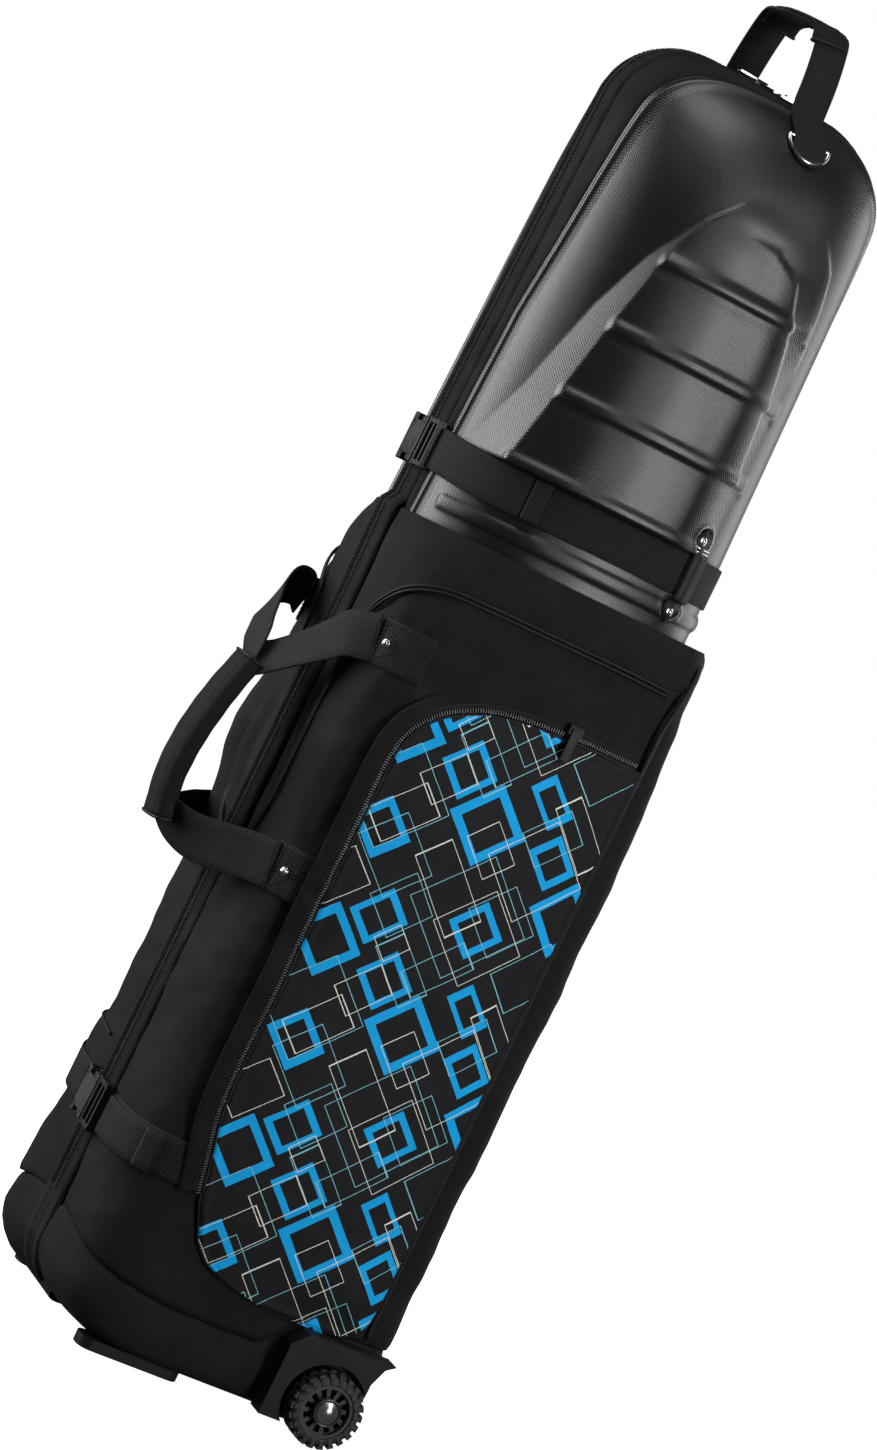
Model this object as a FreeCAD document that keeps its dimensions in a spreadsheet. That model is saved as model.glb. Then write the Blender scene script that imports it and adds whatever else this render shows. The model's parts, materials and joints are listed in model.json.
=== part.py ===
import FreeCAD, Part
import math
import os
import re

import Sketcher

# Golf travel case: a clamshell of two mirrored halves (moulded shell over padded fabric)
# joined by a zipper up the front, over the top and down the back of the shell.
# The near half (+X) swings open about the back seam.  +Z is up, -Y is the zipper side.
# Every outline is drawn about the case's own centre line; the whole case is then moved
# by ctr_y, so that the origin lies under the middle of the overall box.

V = FreeCAD.Vector
X_DIR = V(1, 0, 0)
Y_DIR = V(0, 1, 0)
Z_DIR = V(0, 0, 1)

doc = FreeCAD.newDocument("golf_travel_case")
sheet = doc.addObject("Spreadsheet::Sheet", "Dim")

SIZES = {
    # overall
    "ctr_y": 47.5, "split": 0.5,
    # padded fabric body: half width, reach to front and back, wall
    "body_hw": 140.0, "body_fy": 153.0, "body_by": 152.0, "body_wall": 4.0,
    "rim_hw": 139.0, "rim_fy": 155.0, "rim_by": 152.6, "rim_z": 783.0,
    "side_z": 96.0, "taper_z": 700.0, "front_pow": 5.2, "back_pow": 12.0,
    "rim_front_pow": 2.5, "rim_back_pow": 4.0,
    # moulded shell
    "shell_hw": 134.0, "shell_fy": 150.0, "shell_by": 148.0, "shell_wall": 3.0,
    "shell_z": 750.0, "shell_top": 1270.0, "shell_taper": 0.0216, "dome_rise": 170.0,
    "dome_pow": 2.4, "front_round": 62.0, "back_round": 75.0,
    "shell_front_pow": 2.1, "shell_back_pow": 2.6,
    # base
    "tub_z": 10.0, "tub_top": 92.0, "tub_wall": 4.0, "tub_front_r": 55.0, "tub_back_r": 22.0,
    "board_hw": 125.0, "board_fy": 90.0, "board_by": 140.0, "board_t": 3.0,
    "foot_x": 100.0, "foot_w": 30.0, "foot_y": -120.0, "foot_len": 101.0, "foot_end_r": 12.0,
    # wheels
    "wheel_y": 101.0, "wheel_r": 35.0, "tread_h": 2.0, "tyre_in_r": 24.7, "tyre_x": 152.0,
    "tyre_w": 27.0, "lug_w": 7.0, "lug_count": 18, "rim_r": 21.5, "hub_r": 10.5,
    "disc_x": 165.0, "disc_t": 8.0, "spoke_count": 12, "window_w": 6.0,
    "axle_r": 4.0, "bush_r": 7.5, "run_gap": 0.05, "axle_x": 141.0, "axle_end": 179.0,
    "cap_x": 179.2, "cap_r": 10.4, "cap_h": 3.8,
    # wheel housing
    "house_x": 140.3, "house_w": 24.7, "house_web": 9.5, "house_fy": 47.0, "house_by": 150.0,
    "house_notch_y": 133.0, "house_notch_z": 66.0, "arch_r": 40.0, "axle_seat_r": 4.3,
    # zipper
    "tape_w": 9.0, "tape_t": 1.6, "tape_gap": 0.8, "tape_low_z": 46.0,
    "slider_hw": 6.0, "slider_len": 16.0, "slider_h": 4.5, "slider_front_y": -4.0,
    "slider_back_y": 20.0, "pull_len": 30.0, "pull_w": 9.0, "pull_t": 1.6, "pull_gap": 0.8,
    # printed pocket
    "pocket_x": 140.4, "pocket_t": 11.6, "pocket_wall": 2.5, "pocket_left": -102.0,
    "pocket_right": 118.0, "pocket_low": 92.0, "pocket_top": 663.0,
    "band_w": 18.0, "band_t": 4.0, "pocket_slider_y": 42.0, "pocket_slider_z": 673.0,
    # webbing
    "web_t": 2.2, "upper_z": 840.0, "upper_w": 40.0, "lower_z": 184.0, "lower_w": 38.0,
    "buckle_len": 38.0, "buckle_w": 46.0, "buckle_t": 12.0, "socket_t": 8.0, "prong_t": 4.0,
    "prong_len": 19.0, "buckle_gap": 3.0, "strap_end_x": 34.0, "keeper_y": 80.0,
    "keeper_w": 20.0, "rivet_r": 4.5, "rivet_h": 2.2,
    # carry handle on the front
    "loop_w": 44.0, "loop_t": 2.4, "grip_y": -226.0, "grip_low": 438.0, "grip_top": 603.0,
    "grip_hw": 23.0, "grip_t": 20.0, "grip_wall": 2.5, "patch_w": 46.0, "patch_t": 2.0,
    # grab handle on the top and its D-rings
    "grab_w": 38.0, "grab_t": 3.0, "grab_top": 1346.5, "grab_near_y": 20.0, "grab_far_y": -6.0,
    "ring_r": 21.0, "ring_wire": 2.0, "ring_x": 97.0,
    # lining
    "foam_t": 8.0, "foam_gap": 1.5, "foam_low": 110.0, "foam_top": 695.0,
    "foam_fy": -80.0, "foam_by": 115.0,
    "inner_strap_w": 38.0, "inner_strap_t": 2.0, "piping_r": 2.5,
}

for row, (alias, value) in enumerate(SIZES.items(), start=1):
    sheet.set("A%d" % row, alias)
    sheet.set("B%d" % row, str(value))
    sheet.setAlias("B%d" % row, alias)
doc.recompute()


def size(alias):
    """The value of a named cell of the sheet."""
    return float(sheet.get(alias))


def bound(text):
    """An expression on the sheet's cells, from a formula in their plain names."""
    return re.sub(r"[a-z]\w*", lambda word: "Dim." + word.group(), text)


def bind(obj, **formulas):
    for name, text in formulas.items():
        obj.setExpression(name.replace("__", "."), bound(text))


def centre(obj):
    """Moves a finished sub-part from the case's centre line to its place over the origin."""
    bind(obj, Placement__Base__y="ctr_y")
    return obj


# ---------------------------------------------------------------- sketches and bodies

def new_body(label, shift_y="ctr_y", shift_z="0"):
    body = doc.addObject("PartDesign::Body", label)
    body.Label = label
    bind(body, Placement__Base__y=shift_y, Placement__Base__z=shift_z)
    return body


def origin_item(body, role):
    return next(item for item in body.Origin.OriginFeatures if item.Role == role)


def new_sketch(body, name, plane, offset="0"):
    sketch = body.newObject("Sketcher::SketchObject", name)
    sketch.AttachmentSupport = [(origin_item(body, plane), "")]
    sketch.MapMode = "FlatFace"
    bind(sketch, AttachmentOffset__Base__z=offset)
    return sketch


def add_polygon(sketch, corners):
    """A closed polygon whose corners are held by formulas; it starts as a regular one."""
    count = len(corners)
    first = sketch.GeometryCount
    start = [V(50 * math.cos(math.tau * k / count), 50 * math.sin(math.tau * k / count), 0)
             for k in range(count)]
    for k in range(count):
        sketch.addGeometry(Part.LineSegment(start[k], start[(k + 1) % count]))
    for k in range(count):
        following = first + (k + 1) % count
        sketch.addConstraint(Sketcher.Constraint("Coincident", first + k, 2, following, 1))
    for k, pair in enumerate(corners):
        for kind, formula in zip(("DistanceX", "DistanceY"), pair):
            index = sketch.addConstraint(Sketcher.Constraint(kind, -1, 1, first + k, 1, 1.0))
            sketch.setExpression("Constraints[%d]" % index, bound(formula))


def add_circle(sketch, x, y, radius):
    shape = sketch.addGeometry(Part.Circle(V(0, 0, 0), Z_DIR, 10))
    for kind, formula in (("DistanceX", x), ("DistanceY", y)):
        index = sketch.addConstraint(Sketcher.Constraint(kind, -1, 1, shape, 3, 1.0))
        sketch.setExpression("Constraints[%d]" % index, bound(formula))
    index = sketch.addConstraint(Sketcher.Constraint("Radius", shape, 10.0))
    sketch.setExpression("Constraints[%d]" % index, bound(radius))


def pad(body, sketch, length, flip=False, both=False):
    feature = body.newObject("PartDesign::Pad", sketch.Name + "_pad")
    feature.Profile = sketch
    feature.Reversed = flip
    feature.Midplane = both
    bind(feature, Length=length)
    sketch.Visibility = False
    doc.recompute()
    return feature


def pocket(body, sketch, length, flip=False, both=False):
    """Cuts the sketch into the body, and stops if the cut removes nothing."""
    before = body.Shape.Volume
    feature = body.newObject("PartDesign::Pocket", sketch.Name + "_cut")
    feature.Profile = sketch
    feature.Reversed = flip
    feature.Midplane = both
    bind(feature, Length=length)
    doc.recompute()
    if body.Shape.Volume > before - 1.0:
        raise RuntimeError("nothing was cut by " + feature.Name)
    return feature


def round_edges(body, name, radius, wanted):
    """Fillets the edges of the body's tip that the test function accepts."""
    tip = body.Tip
    names = ["Edge%d" % (k + 1) for k, edge in enumerate(tip.Shape.Edges) if wanted(edge)]
    feature = body.newObject("PartDesign::Fillet", name)
    feature.Base = (tip, names)
    bind(feature, Radius=radius)
    doc.recompute()
    return feature


def hollow_out(body, name, wall, height):
    """Leaves a wall of even thickness, open at the face that the height function puts first."""
    tip = body.Tip
    faces = tip.Shape.Faces
    open_face = max(range(len(faces)), key=lambda k: height(faces[k]))
    feature = body.newObject("PartDesign::Thickness", name)
    feature.Base = (tip, ["Face%d" % (open_face + 1)])
    feature.Reversed = True
    bind(feature, Value=wall)
    doc.recompute()
    return feature


def polar(body, feature, axis_role, count):
    pattern = body.newObject("PartDesign::PolarPattern", feature.Name + "_ring")
    pattern.Originals = [feature]
    pattern.Axis = (origin_item(body, axis_role), [""])
    pattern.Angle = 360
    bind(pattern, Occurrences=count)
    body.Tip = pattern
    doc.recompute()
    return pattern


def runs_along(edge, direction):
    if edge.Curve.TypeId != "Part::GeomLine":
        return False
    along = edge.Vertexes[1].Point - edge.Vertexes[0].Point
    return abs(along.normalize().dot(direction)) > 0.999


def mirror(source, label):
    """The same sub-part on the far side of the zipper plane."""
    copy = doc.addObject("Part::Mirroring", label)
    copy.Label = label
    copy.Source = source
    copy.Base = V(0, 0, 0)
    copy.Normal = X_DIR
    return copy


def free_shape(label, shape):
    """A sub-part whose soft or moulded form is worked out from the sheet's sizes."""
    part = doc.addObject("Part::Feature", label)
    part.Label = label
    part.Shape = shape
    return centre(part)


# ---------------------------------------------------------------- outlines of the case

def blend_value(low, high, share):
    return low + (high - low) * share


def fabric_section(z):
    """Half width, front and back reach and corner powers of the fabric body at a height."""
    share = max(0.0, (z - size("taper_z")) / (size("rim_z") - size("taper_z")))
    pairs = (("body_hw", "rim_hw"), ("body_fy", "rim_fy"), ("body_by", "rim_by"),
             ("front_pow", "rim_front_pow"), ("back_pow", "rim_back_pow"))
    return [blend_value(size(low), size(high), share) for low, high in pairs]


def shell_section(z):
    """The same five values for the moulded shell, which tapers and ends in a dome."""
    rise = max(0.0, (z - size("shell_top") + size("dome_rise")) / size("dome_rise"))
    dome = max(0.0, 1.0 - rise ** size("dome_pow")) ** (1.0 / size("dome_pow"))
    lean = size("shell_taper") * max(0.0, z - size("rim_z"))
    reach = []
    for side in ("front", "back"):
        radius = size(side + "_round")
        over = max(0.0, z - size("shell_top") + radius)
        corner = radius - math.sqrt(max(0.0, radius ** 2 - over ** 2))
        reach.append(size({"front": "shell_fy", "back": "shell_by"}[side]) - lean - corner)
    return [size("shell_hw") * dome] + reach + [size("shell_front_pow"), size("shell_back_pow")]


def ring_point(section, angle, grow=0.0):
    """A point of a plan section; angle 0 is the front, 180 the back, 90 the near side."""
    half, front, back, front_pow, back_pow = section
    across = math.sin(math.radians(angle))
    ahead = -math.cos(math.radians(angle))
    reach = front if ahead < 0 else back
    power = front_pow if ahead < 0 else back_pow
    ray = ((abs(across) / (half + grow)) ** power
           + (abs(ahead) / (reach + grow)) ** power) ** (-1.0 / power)
    return across * ray, ahead * ray


def curve(points):
    spline = Part.BSplineCurve()
    spline.interpolate(points)
    return spline.toShape()


def loft(wires, ruled):
    return Part.makeLoft(wires, True, ruled)


def side_wall(heights, section_at, wall):
    """A U-shaped wall, open towards the zipper plane, lofted through plan sections."""
    wires = []
    first_x = size("split")
    for z in heights:
        section = section_at(z)
        start = math.degrees(math.asin(first_x / section[1]))
        finish = 180.0 - math.degrees(math.asin(first_x / section[2]))
        angles = [blend_value(start, finish, k / 32.0) for k in range(33)]
        outer = [V(*ring_point(section, angle), z) for angle in angles]
        inner = [V(*ring_point(section, angle, -wall), z) for angle in angles]
        for line in (outer, inner):
            line[0].x = first_x
            line[-1].x = first_x
        edges = [curve(outer), Part.LineSegment(outer[-1], inner[-1]).toShape(),
                 curve(inner[::-1]), Part.LineSegment(inner[0], outer[0]).toShape()]
        wires.append(Part.Wire(edges))
    return loft(wires, True)


def shell_arch(x, inset, low_z):
    """The shell's outline in a plane of constant x, closed along its lower edge."""
    half = size("shell_hw") - inset
    top = size("shell_top") - inset
    dome_low = size("shell_top") - size("dome_rise")
    rise = (1.0 - (x / half) ** size("dome_pow")) ** (1.0 / size("dome_pow"))
    crown = dome_low + (top - dome_low) * rise

    def side_points(side):
        reach = size({"front": "shell_fy", "back": "shell_by"}[side]) - inset
        power = size("shell_%s_pow" % side)
        radius = size(side + "_round") - inset
        share = (1.0 - (x / half) ** power) ** (1.0 / power)
        points = []
        for k in range(7):
            z = blend_value(low_z, crown - radius, k / 6.0)
            lean = size("shell_taper") * max(0.0, z - size("rim_z"))
            points.append(V(x, (reach - lean) * share, z))
        last = points[-1].y
        bend = min(radius, 0.8 * last)
        for k in range(1, 7):
            turn = math.radians(15.0 * k)
            points.append(V(x, last - bend * (1.0 - math.cos(turn)),
                            crown - radius + radius * math.sin(turn)))
        return points

    back = side_points("back")
    front = [V(p.x, -p.y, p.z) for p in side_points("front")]
    flat = [V(x, blend_value(front[-1].y, back[-1].y, k / 4.0), crown) for k in range(1, 4)]
    arch = curve(front + flat + back[::-1])
    return Part.Wire([arch, Part.LineSegment(back[0], front[0]).toShape()])


def shell_solid():
    stations = (0.5, 30.0, 60.0, 85.0, 105.0, 120.0)
    wall = size("shell_wall")
    low = size("shell_z")
    share = (size("shell_hw") - wall) / size("shell_hw")
    outer = loft([shell_arch(x, 0.0, low) for x in stations + (129.0,)], False)
    inner = loft([shell_arch(x * share, wall, low - 5.0) for x in stations + (128.0,)], False)
    inner.translate(V(-size("split"), 0, 0))
    stub = shell_arch(0.5, wall, low - 5.0)
    mouth = Part.Face(stub).extrude(V(-3, 0, 0))
    return outer.cut(inner).cut(mouth)


def ribbon(stations, width, thick):
    """A flat strip through (point, width direction) stations, as a ruled solid."""
    wires = []
    for k, (point, across) in enumerate(stations):
        ahead = stations[min(k + 1, len(stations) - 1)][0]
        behind = stations[max(k - 1, 0)][0]
        along = (ahead - behind).normalize()
        side = (across - along * across.dot(along)).normalize()
        normal = along.cross(side)
        half_w = side * (width / 2.0)
        half_t = normal * (thick / 2.0)
        corners = [point + half_w + half_t, point - half_w + half_t,
                   point - half_w - half_t, point + half_w - half_t]
        wires.append(Part.makePolygon(corners + corners[:1]))
    return loft(wires, True)


def belt(section, z, from_angle, to_angle, grow, steps):
    """Stations of a strap that follows a plan section at one height."""
    stations = []
    for k in range(steps + 1):
        x, y = ring_point(section, blend_value(from_angle, to_angle, k / steps), grow)
        stations.append((V(x, y, z), Z_DIR))
    return stations


def angle_of(section, x, front=True, grow=0.0):
    """The section angle at which the outline passes a small distance x off the middle."""
    reach = (section[1] if front else section[2]) + grow
    small = math.degrees(math.atan2(x, reach))
    return small if front else 180.0 - small


# ---------------------------------------------------------------- base

def make_base_tub():
    body = new_body("base_tub")
    plan = new_sketch(body, "tub_plan", "XY_Plane", "tub_z")
    add_polygon(plan, [("-body_hw", "-body_fy"), ("body_hw", "-body_fy"),
                       ("body_hw", "body_by"), ("-body_hw", "body_by")])
    pad(body, plan, "tub_top - tub_z")
    round_edges(body, "tub_front_corners", "tub_front_r",
                lambda e: runs_along(e, Z_DIR) and e.Vertexes[0].Y < 0)
    round_edges(body, "tub_back_corners", "tub_back_r",
                lambda e: runs_along(e, Z_DIR) and e.Vertexes[0].Y > 0)
    # the front lower edge is rounded off in three facets that step up to the front face
    toe = new_sketch(body, "tub_toe", "YZ_Plane")
    add_polygon(toe, [("-body_fy - 10", "0"), ("-105", "0"), ("-105", "tub_z"),
                      ("-128", "tub_z + 9"), ("-144", "tub_z + 26"), ("-body_fy", "tub_z + 50"),
                      ("-body_fy - 10", "tub_z + 50")])
    pocket(body, toe, "2 * body_hw + 20", both=True)
    hollow_out(body, "tub_hollow", "tub_wall", lambda face: face.CenterOfMass.z)
    return body


def make_base_board():
    board = doc.addObject("Part::Box", "base_board")
    bind(board, Length="2 * board_hw", Width="board_fy + board_by", Height="board_t",
         Placement__Base__x="-board_hw", Placement__Base__y="ctr_y - board_fy",
         Placement__Base__z="tub_z + tub_wall + 0.3")
    return board


def make_foot():
    body = new_body("foot_near")
    plan = new_sketch(body, "foot_plan", "XY_Plane")
    add_polygon(plan, [("foot_x", "foot_y"), ("foot_x + foot_w", "foot_y"),
                       ("foot_x + foot_w", "foot_y + foot_len"),
                       ("foot_x", "foot_y + foot_len")])
    pad(body, plan, "tub_z")
    round_edges(body, "foot_ends", "foot_end_r", lambda e: runs_along(e, Z_DIR))
    return body


# ---------------------------------------------------------------- wheels

def make_housing():
    body = new_body("wheel_housing_near")
    side = new_sketch(body, "housing_side", "YZ_Plane", "house_x")
    add_polygon(side, [("house_fy", "tub_z"), ("house_notch_y", "tub_z"),
                       ("house_notch_y", "house_notch_z"), ("house_by - 9", "house_notch_z + 20"),
                       ("house_by", "tub_top"), ("house_fy + 14", "tub_top"),
                       ("house_fy", "tub_top - 14")])
    pad(body, side, "house_w")
    arch = new_sketch(body, "wheel_arch", "YZ_Plane", "house_x + house_web")
    add_circle(arch, "wheel_y", "wheel_r", "arch_r")
    pocket(body, arch, "house_w", flip=True)
    boss = new_sketch(body, "axle_boss", "YZ_Plane", "house_x + house_web")
    add_circle(boss, "wheel_y", "wheel_r", "hub_r")
    pad(body, boss, "1.6")
    seat = new_sketch(body, "axle_seat", "YZ_Plane", "house_x - 1")
    add_circle(seat, "wheel_y", "wheel_r", "axle_seat_r")
    pocket(body, seat, "house_w", flip=True)
    return body


def wheel_cylinder(name, radius, x, length):
    part = doc.addObject("Part::Cylinder", name)
    part.Placement.Rotation = FreeCAD.Rotation(Y_DIR, 90)
    bind(part, Radius=radius, Height=length, Placement__Base__x=x,
         Placement__Base__y="wheel_y + ctr_y", Placement__Base__z="wheel_r")
    return part


def make_axle():
    return wheel_cylinder("axle_near", "axle_r", "axle_x", "axle_end - axle_x")


def make_bush():
    bush = doc.addObject("Part::Cut", "bush_near")
    bush.Base = wheel_cylinder("bush_outside", "bush_r", "tyre_x + 1", "tyre_w - 2")
    bush.Tool = wheel_cylinder("bush_bore", "axle_r + run_gap", "tyre_x", "tyre_w")
    return bush


def wheel_body(label):
    return new_body(label, "ctr_y + wheel_y", "wheel_r")


def make_hub():
    body = wheel_body("hub_near")
    rim = new_sketch(body, "hub_rim", "YZ_Plane", "tyre_x + 2")
    add_circle(rim, "0", "0", "tyre_in_r")
    add_circle(rim, "0", "0", "rim_r")
    pad(body, rim, "tyre_w - 4")
    disc = new_sketch(body, "hub_disc", "YZ_Plane", "disc_x")
    add_circle(disc, "0", "0", "rim_r + 1")
    add_circle(disc, "0", "0", "bush_r")
    pad(body, disc, "disc_t")
    boss = new_sketch(body, "hub_boss", "YZ_Plane", "tyre_x + 1")
    add_circle(boss, "0", "0", "hub_r")
    add_circle(boss, "0", "0", "bush_r")
    pad(body, boss, "tyre_w - 1")
    window = new_sketch(body, "hub_window", "YZ_Plane", "disc_x - 1")
    add_polygon(window, [("hub_r + 1.5", "-0.3 * window_w"), ("rim_r - 1", "-0.5 * window_w"),
                         ("rim_r - 1", "0.5 * window_w"), ("hub_r + 1.5", "0.3 * window_w")])
    polar(body, pocket(body, window, "disc_t + 2", flip=True), "X_Axis", "spoke_count")
    return body


def make_tyre():
    body = wheel_body("tyre_near")
    ring = new_sketch(body, "tyre_ring", "YZ_Plane", "tyre_x")
    add_circle(ring, "0", "0", "wheel_r - tread_h")
    add_circle(ring, "0", "0", "tyre_in_r")
    pad(body, ring, "tyre_w")
    lug = new_sketch(body, "tyre_lug", "YZ_Plane", "tyre_x + 1.5")
    add_polygon(lug, [("wheel_r - tread_h - 2", "-lug_w / 2"), ("wheel_r - 0.2", "-lug_w / 2"),
                      ("wheel_r - 0.2", "lug_w / 2"), ("wheel_r - tread_h - 2", "lug_w / 2")])
    polar(body, pad(body, lug, "tyre_w - 3"), "X_Axis", "lug_count")
    return body


def make_hub_cap():
    body = wheel_body("hub_cap_near")
    profile = new_sketch(body, "cap_profile", "XY_Plane")
    add_polygon(profile, [("cap_x", "0"), ("cap_x", "cap_r"), ("cap_x + 0.3 * cap_h", "cap_r"),
                          ("cap_x + 0.7 * cap_h", "0.8 * cap_r"),
                          ("cap_x + 0.95 * cap_h", "0.4 * cap_r"), ("cap_x + cap_h", "0")])
    dome = body.newObject("PartDesign::Revolution", "cap_dome")
    dome.Profile = profile
    dome.ReferenceAxis = (origin_item(body, "X_Axis"), [""])
    dome.Angle = 360
    doc.recompute()
    return body


# ---------------------------------------------------------------- walls and shells

def make_side_panel():
    heights = (size("side_z"), 400.0, size("taper_z"), 742.0, size("rim_z"))
    return free_shape("near_side_panel", side_wall(heights, fabric_section, size("body_wall")))


def make_foam_pad():
    pad_box = doc.addObject("Part::Box", "foam_pad_near")
    bind(pad_box, Length="foam_t", Width="foam_by - foam_fy", Height="foam_top - foam_low",
         Placement__Base__x="body_hw - body_wall - foam_gap - foam_t",
         Placement__Base__y="ctr_y + foam_fy", Placement__Base__z="foam_low")
    return pad_box


def make_inner_straps():
    """Two webbing straps that tie the golf bag down, lying against the far lining."""
    straps = []
    for k, z in enumerate((300.0, 600.0)):
        strap = doc.addObject("Part::Box", "inner_strap_%d" % (k + 1))
        strap.Placement.Base.z = z
        bind(strap, Length="inner_strap_t", Width="200", Height="inner_strap_w",
             Placement__Base__x="-body_hw + body_wall + foam_gap + foam_t + 0.5",
             Placement__Base__y="ctr_y - 100")
        straps.append(strap)
    group = doc.addObject("Part::Compound", "inner_straps")
    group.Links = straps
    return group


def zipper_line(low_z, back_z, grow):
    """The zipper's run in its own plane: up the front, over the top, down the back."""
    top = size("shell_top") + grow
    points = []
    for z in (low_z, 200.0, 450.0, size("taper_z"), 742.0, size("rim_z")):
        points.append((-fabric_section(z)[1] - grow, z))
    for z in (size("rim_z") + 14.0, 950.0, 1080.0, size("shell_top") - size("front_round")):
        points.append((-shell_section(z)[1] - grow, z))
    front_r = size("front_round") + grow
    front_y = points[-1][0] + front_r
    for k in range(1, 7):
        turn = math.radians(15.0 * k)
        points.append((front_y - front_r * math.cos(turn), top - front_r * (1 - math.sin(turn))))
    back_r = size("back_round") + grow
    back_y = shell_section(size("shell_top") - size("back_round"))[2] + grow - back_r
    for k in range(7):
        turn = math.radians(90.0 - 15.0 * k)
        points.append((back_y + back_r * math.cos(turn), top - back_r * (1 - math.sin(turn))))
    for z in (1080.0, 950.0, back_z):
        points.append((shell_section(z)[2] + grow, z))
    return points


def make_zipper_tape(label, side, low_z):
    middle = side * (size("split") + size("tape_w") / 2.0)
    grow = size("tape_gap") + size("tape_t") / 2.0
    line = zipper_line(low_z, size("rim_z") + 8.0, grow)
    stations = [(V(middle, y, z), X_DIR) for y, z in line]
    return free_shape(label, ribbon(stations, size("tape_w"), size("tape_t")))


def make_piping():
    corner = doc.addObject("Part::Cylinder", "corner_piping_near")
    bind(corner, Radius="piping_r", Height="rim_z - side_z - 20",
         Placement__Base__x="body_hw + piping_r + 0.4", Placement__Base__y="ctr_y + 124",
         Placement__Base__z="side_z + 4")
    seam = doc.addObject("Part::Cylinder", "panel_piping")
    seam.Placement.Rotation = FreeCAD.Rotation(X_DIR, -90)
    bind(seam, Radius="piping_r - 0.5", Height="212",
         Placement__Base__x="body_hw + piping_r", Placement__Base__y="ctr_y - 95",
         Placement__Base__z="rim_z - 46")
    return corner, seam


# ---------------------------------------------------------------- printed pocket

def make_pocket():
    body = new_body("pocket_cover")
    outline = new_sketch(body, "pocket_outline", "YZ_Plane", "pocket_x")
    add_polygon(outline, [
        ("pocket_right", "pocket_low + 22"), ("pocket_right", "pocket_top"),
        ("-15", "pocket_top - 6"), ("-60", "pocket_top - 22"), ("-88", "pocket_top - 48"),
        ("pocket_left", "pocket_top - 86"), ("pocket_left", "pocket_low + 133"),
        ("-84", "pocket_low + 68"), ("-55", "pocket_low + 22"), ("-17", "pocket_low + 6"),
        ("19", "pocket_low"), ("pocket_right - 22", "pocket_low")])
    pad(body, outline, "pocket_t")
    hollow_out(body, "pocket_hollow", "pocket_wall", lambda face: -face.CenterOfMass.x)
    return body


def make_pocket_band():
    """The gusset strip that carries the pocket's zipper, left of the print and above it."""
    reach = size("band_w") / 2.0 + 1.5
    left = size("pocket_left") - reach
    top = size("pocket_top")
    x = size("pocket_x") + 0.3 + size("band_t") / 2.0
    route = [(left, 215.0), (left, top - 82.0), (-97.0, top - 42.0), (-64.0, top - 12.0),
             (-15.0, top + 4.5), (20.0, top + reach), (size("pocket_right") - 4.0, top + reach)]
    stations = []
    for k, (y, z) in enumerate(route):
        after = route[min(k + 1, len(route) - 1)]
        before = route[max(k - 1, 0)]
        along = V(0, after[0] - before[0], after[1] - before[1]).normalize()
        stations.append((V(x, y, z), along.cross(X_DIR)))
    return free_shape("pocket_zip_band", ribbon(stations, size("band_w"), size("band_t")))


# ---------------------------------------------------------------- sliders and pulls

def block(label, lengths, corner):
    part = doc.addObject("Part::Box", label)
    names = ("Length", "Width", "Height")
    for name, formula in zip(names, lengths):
        part.setExpression(name, bound(formula))
    for axis, formula in zip("xyz", corner):
        part.setExpression("Placement.Base." + axis, bound(formula))
    return part


def make_main_slider(which, way):
    """A zipper slider on the crown of the shell, and its pull tab lying along the zipper."""
    middle = "ctr_y + slider_%s_y" % which
    base_z = "shell_top + tape_gap + tape_t + 0.4"
    slider = block("main_slider_" + which, ("2 * slider_hw", "slider_len", "slider_h"),
                   ("-slider_hw", middle + " - slider_len / 2", base_z))
    start = {-1: middle + " + pull_gap - pull_len", 1: middle + " - pull_gap"}[way]
    pull = block("main_pull_" + which, ("pull_w", "pull_len", "pull_t"),
                 ("-pull_w / 2", start, base_z + " + slider_h + pull_gap"))
    return slider, pull


def make_pocket_slider():
    slider = block("pocket_slider", ("pocket_t - band_t - 0.2", "slider_len - 2",
                                     "2 * slider_hw - 3"),
                   ("pocket_x + 0.3 + band_t + 0.4", "ctr_y + pocket_slider_y - slider_len / 2 + 1",
                    "pocket_slider_z - slider_hw + 1.5"))
    pull = block("pocket_pull", ("pull_t", "pull_w - 1", "pull_len"),
                 ("pocket_x + pocket_t + 0.8", "ctr_y + pocket_slider_y - pull_w / 2 + 0.5",
                  "pocket_slider_z + 2 - pull_len"))
    return slider, pull


# ---------------------------------------------------------------- straps and buckles

def strap_route(section, z, start_x, grow):
    """From the buckle on the front, round the near side, to the back zipper's tape."""
    first = angle_of(section, start_x, True, grow)
    last = angle_of(section, size("tape_w") + 2.0, False, grow)
    return belt(section, z, first, last, grow, 30)


def make_upper_straps():
    z = size("upper_z")
    section = shell_section(z)
    grow = 0.6 + size("web_t") / 2.0
    near = strap_route(section, z, size("strap_end_x") - 3.0, grow)
    far = [(V(-p.x, p.y, p.z), side)
           for p, side in strap_route(section, z, size("strap_end_x") - 5.0, grow)]
    tail = belt(section, z, angle_of(section, size("strap_end_x") + 4.0),
                58.0, grow + size("web_t") + 0.4, 8)
    width = size("upper_w")
    thick = size("web_t")
    return [free_shape("upper_strap_near", ribbon(near, width, thick)),
            free_shape("upper_strap_far", ribbon(far, width, thick)),
            free_shape("upper_strap_tail", ribbon(tail, width - 1.0, thick))]


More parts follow.
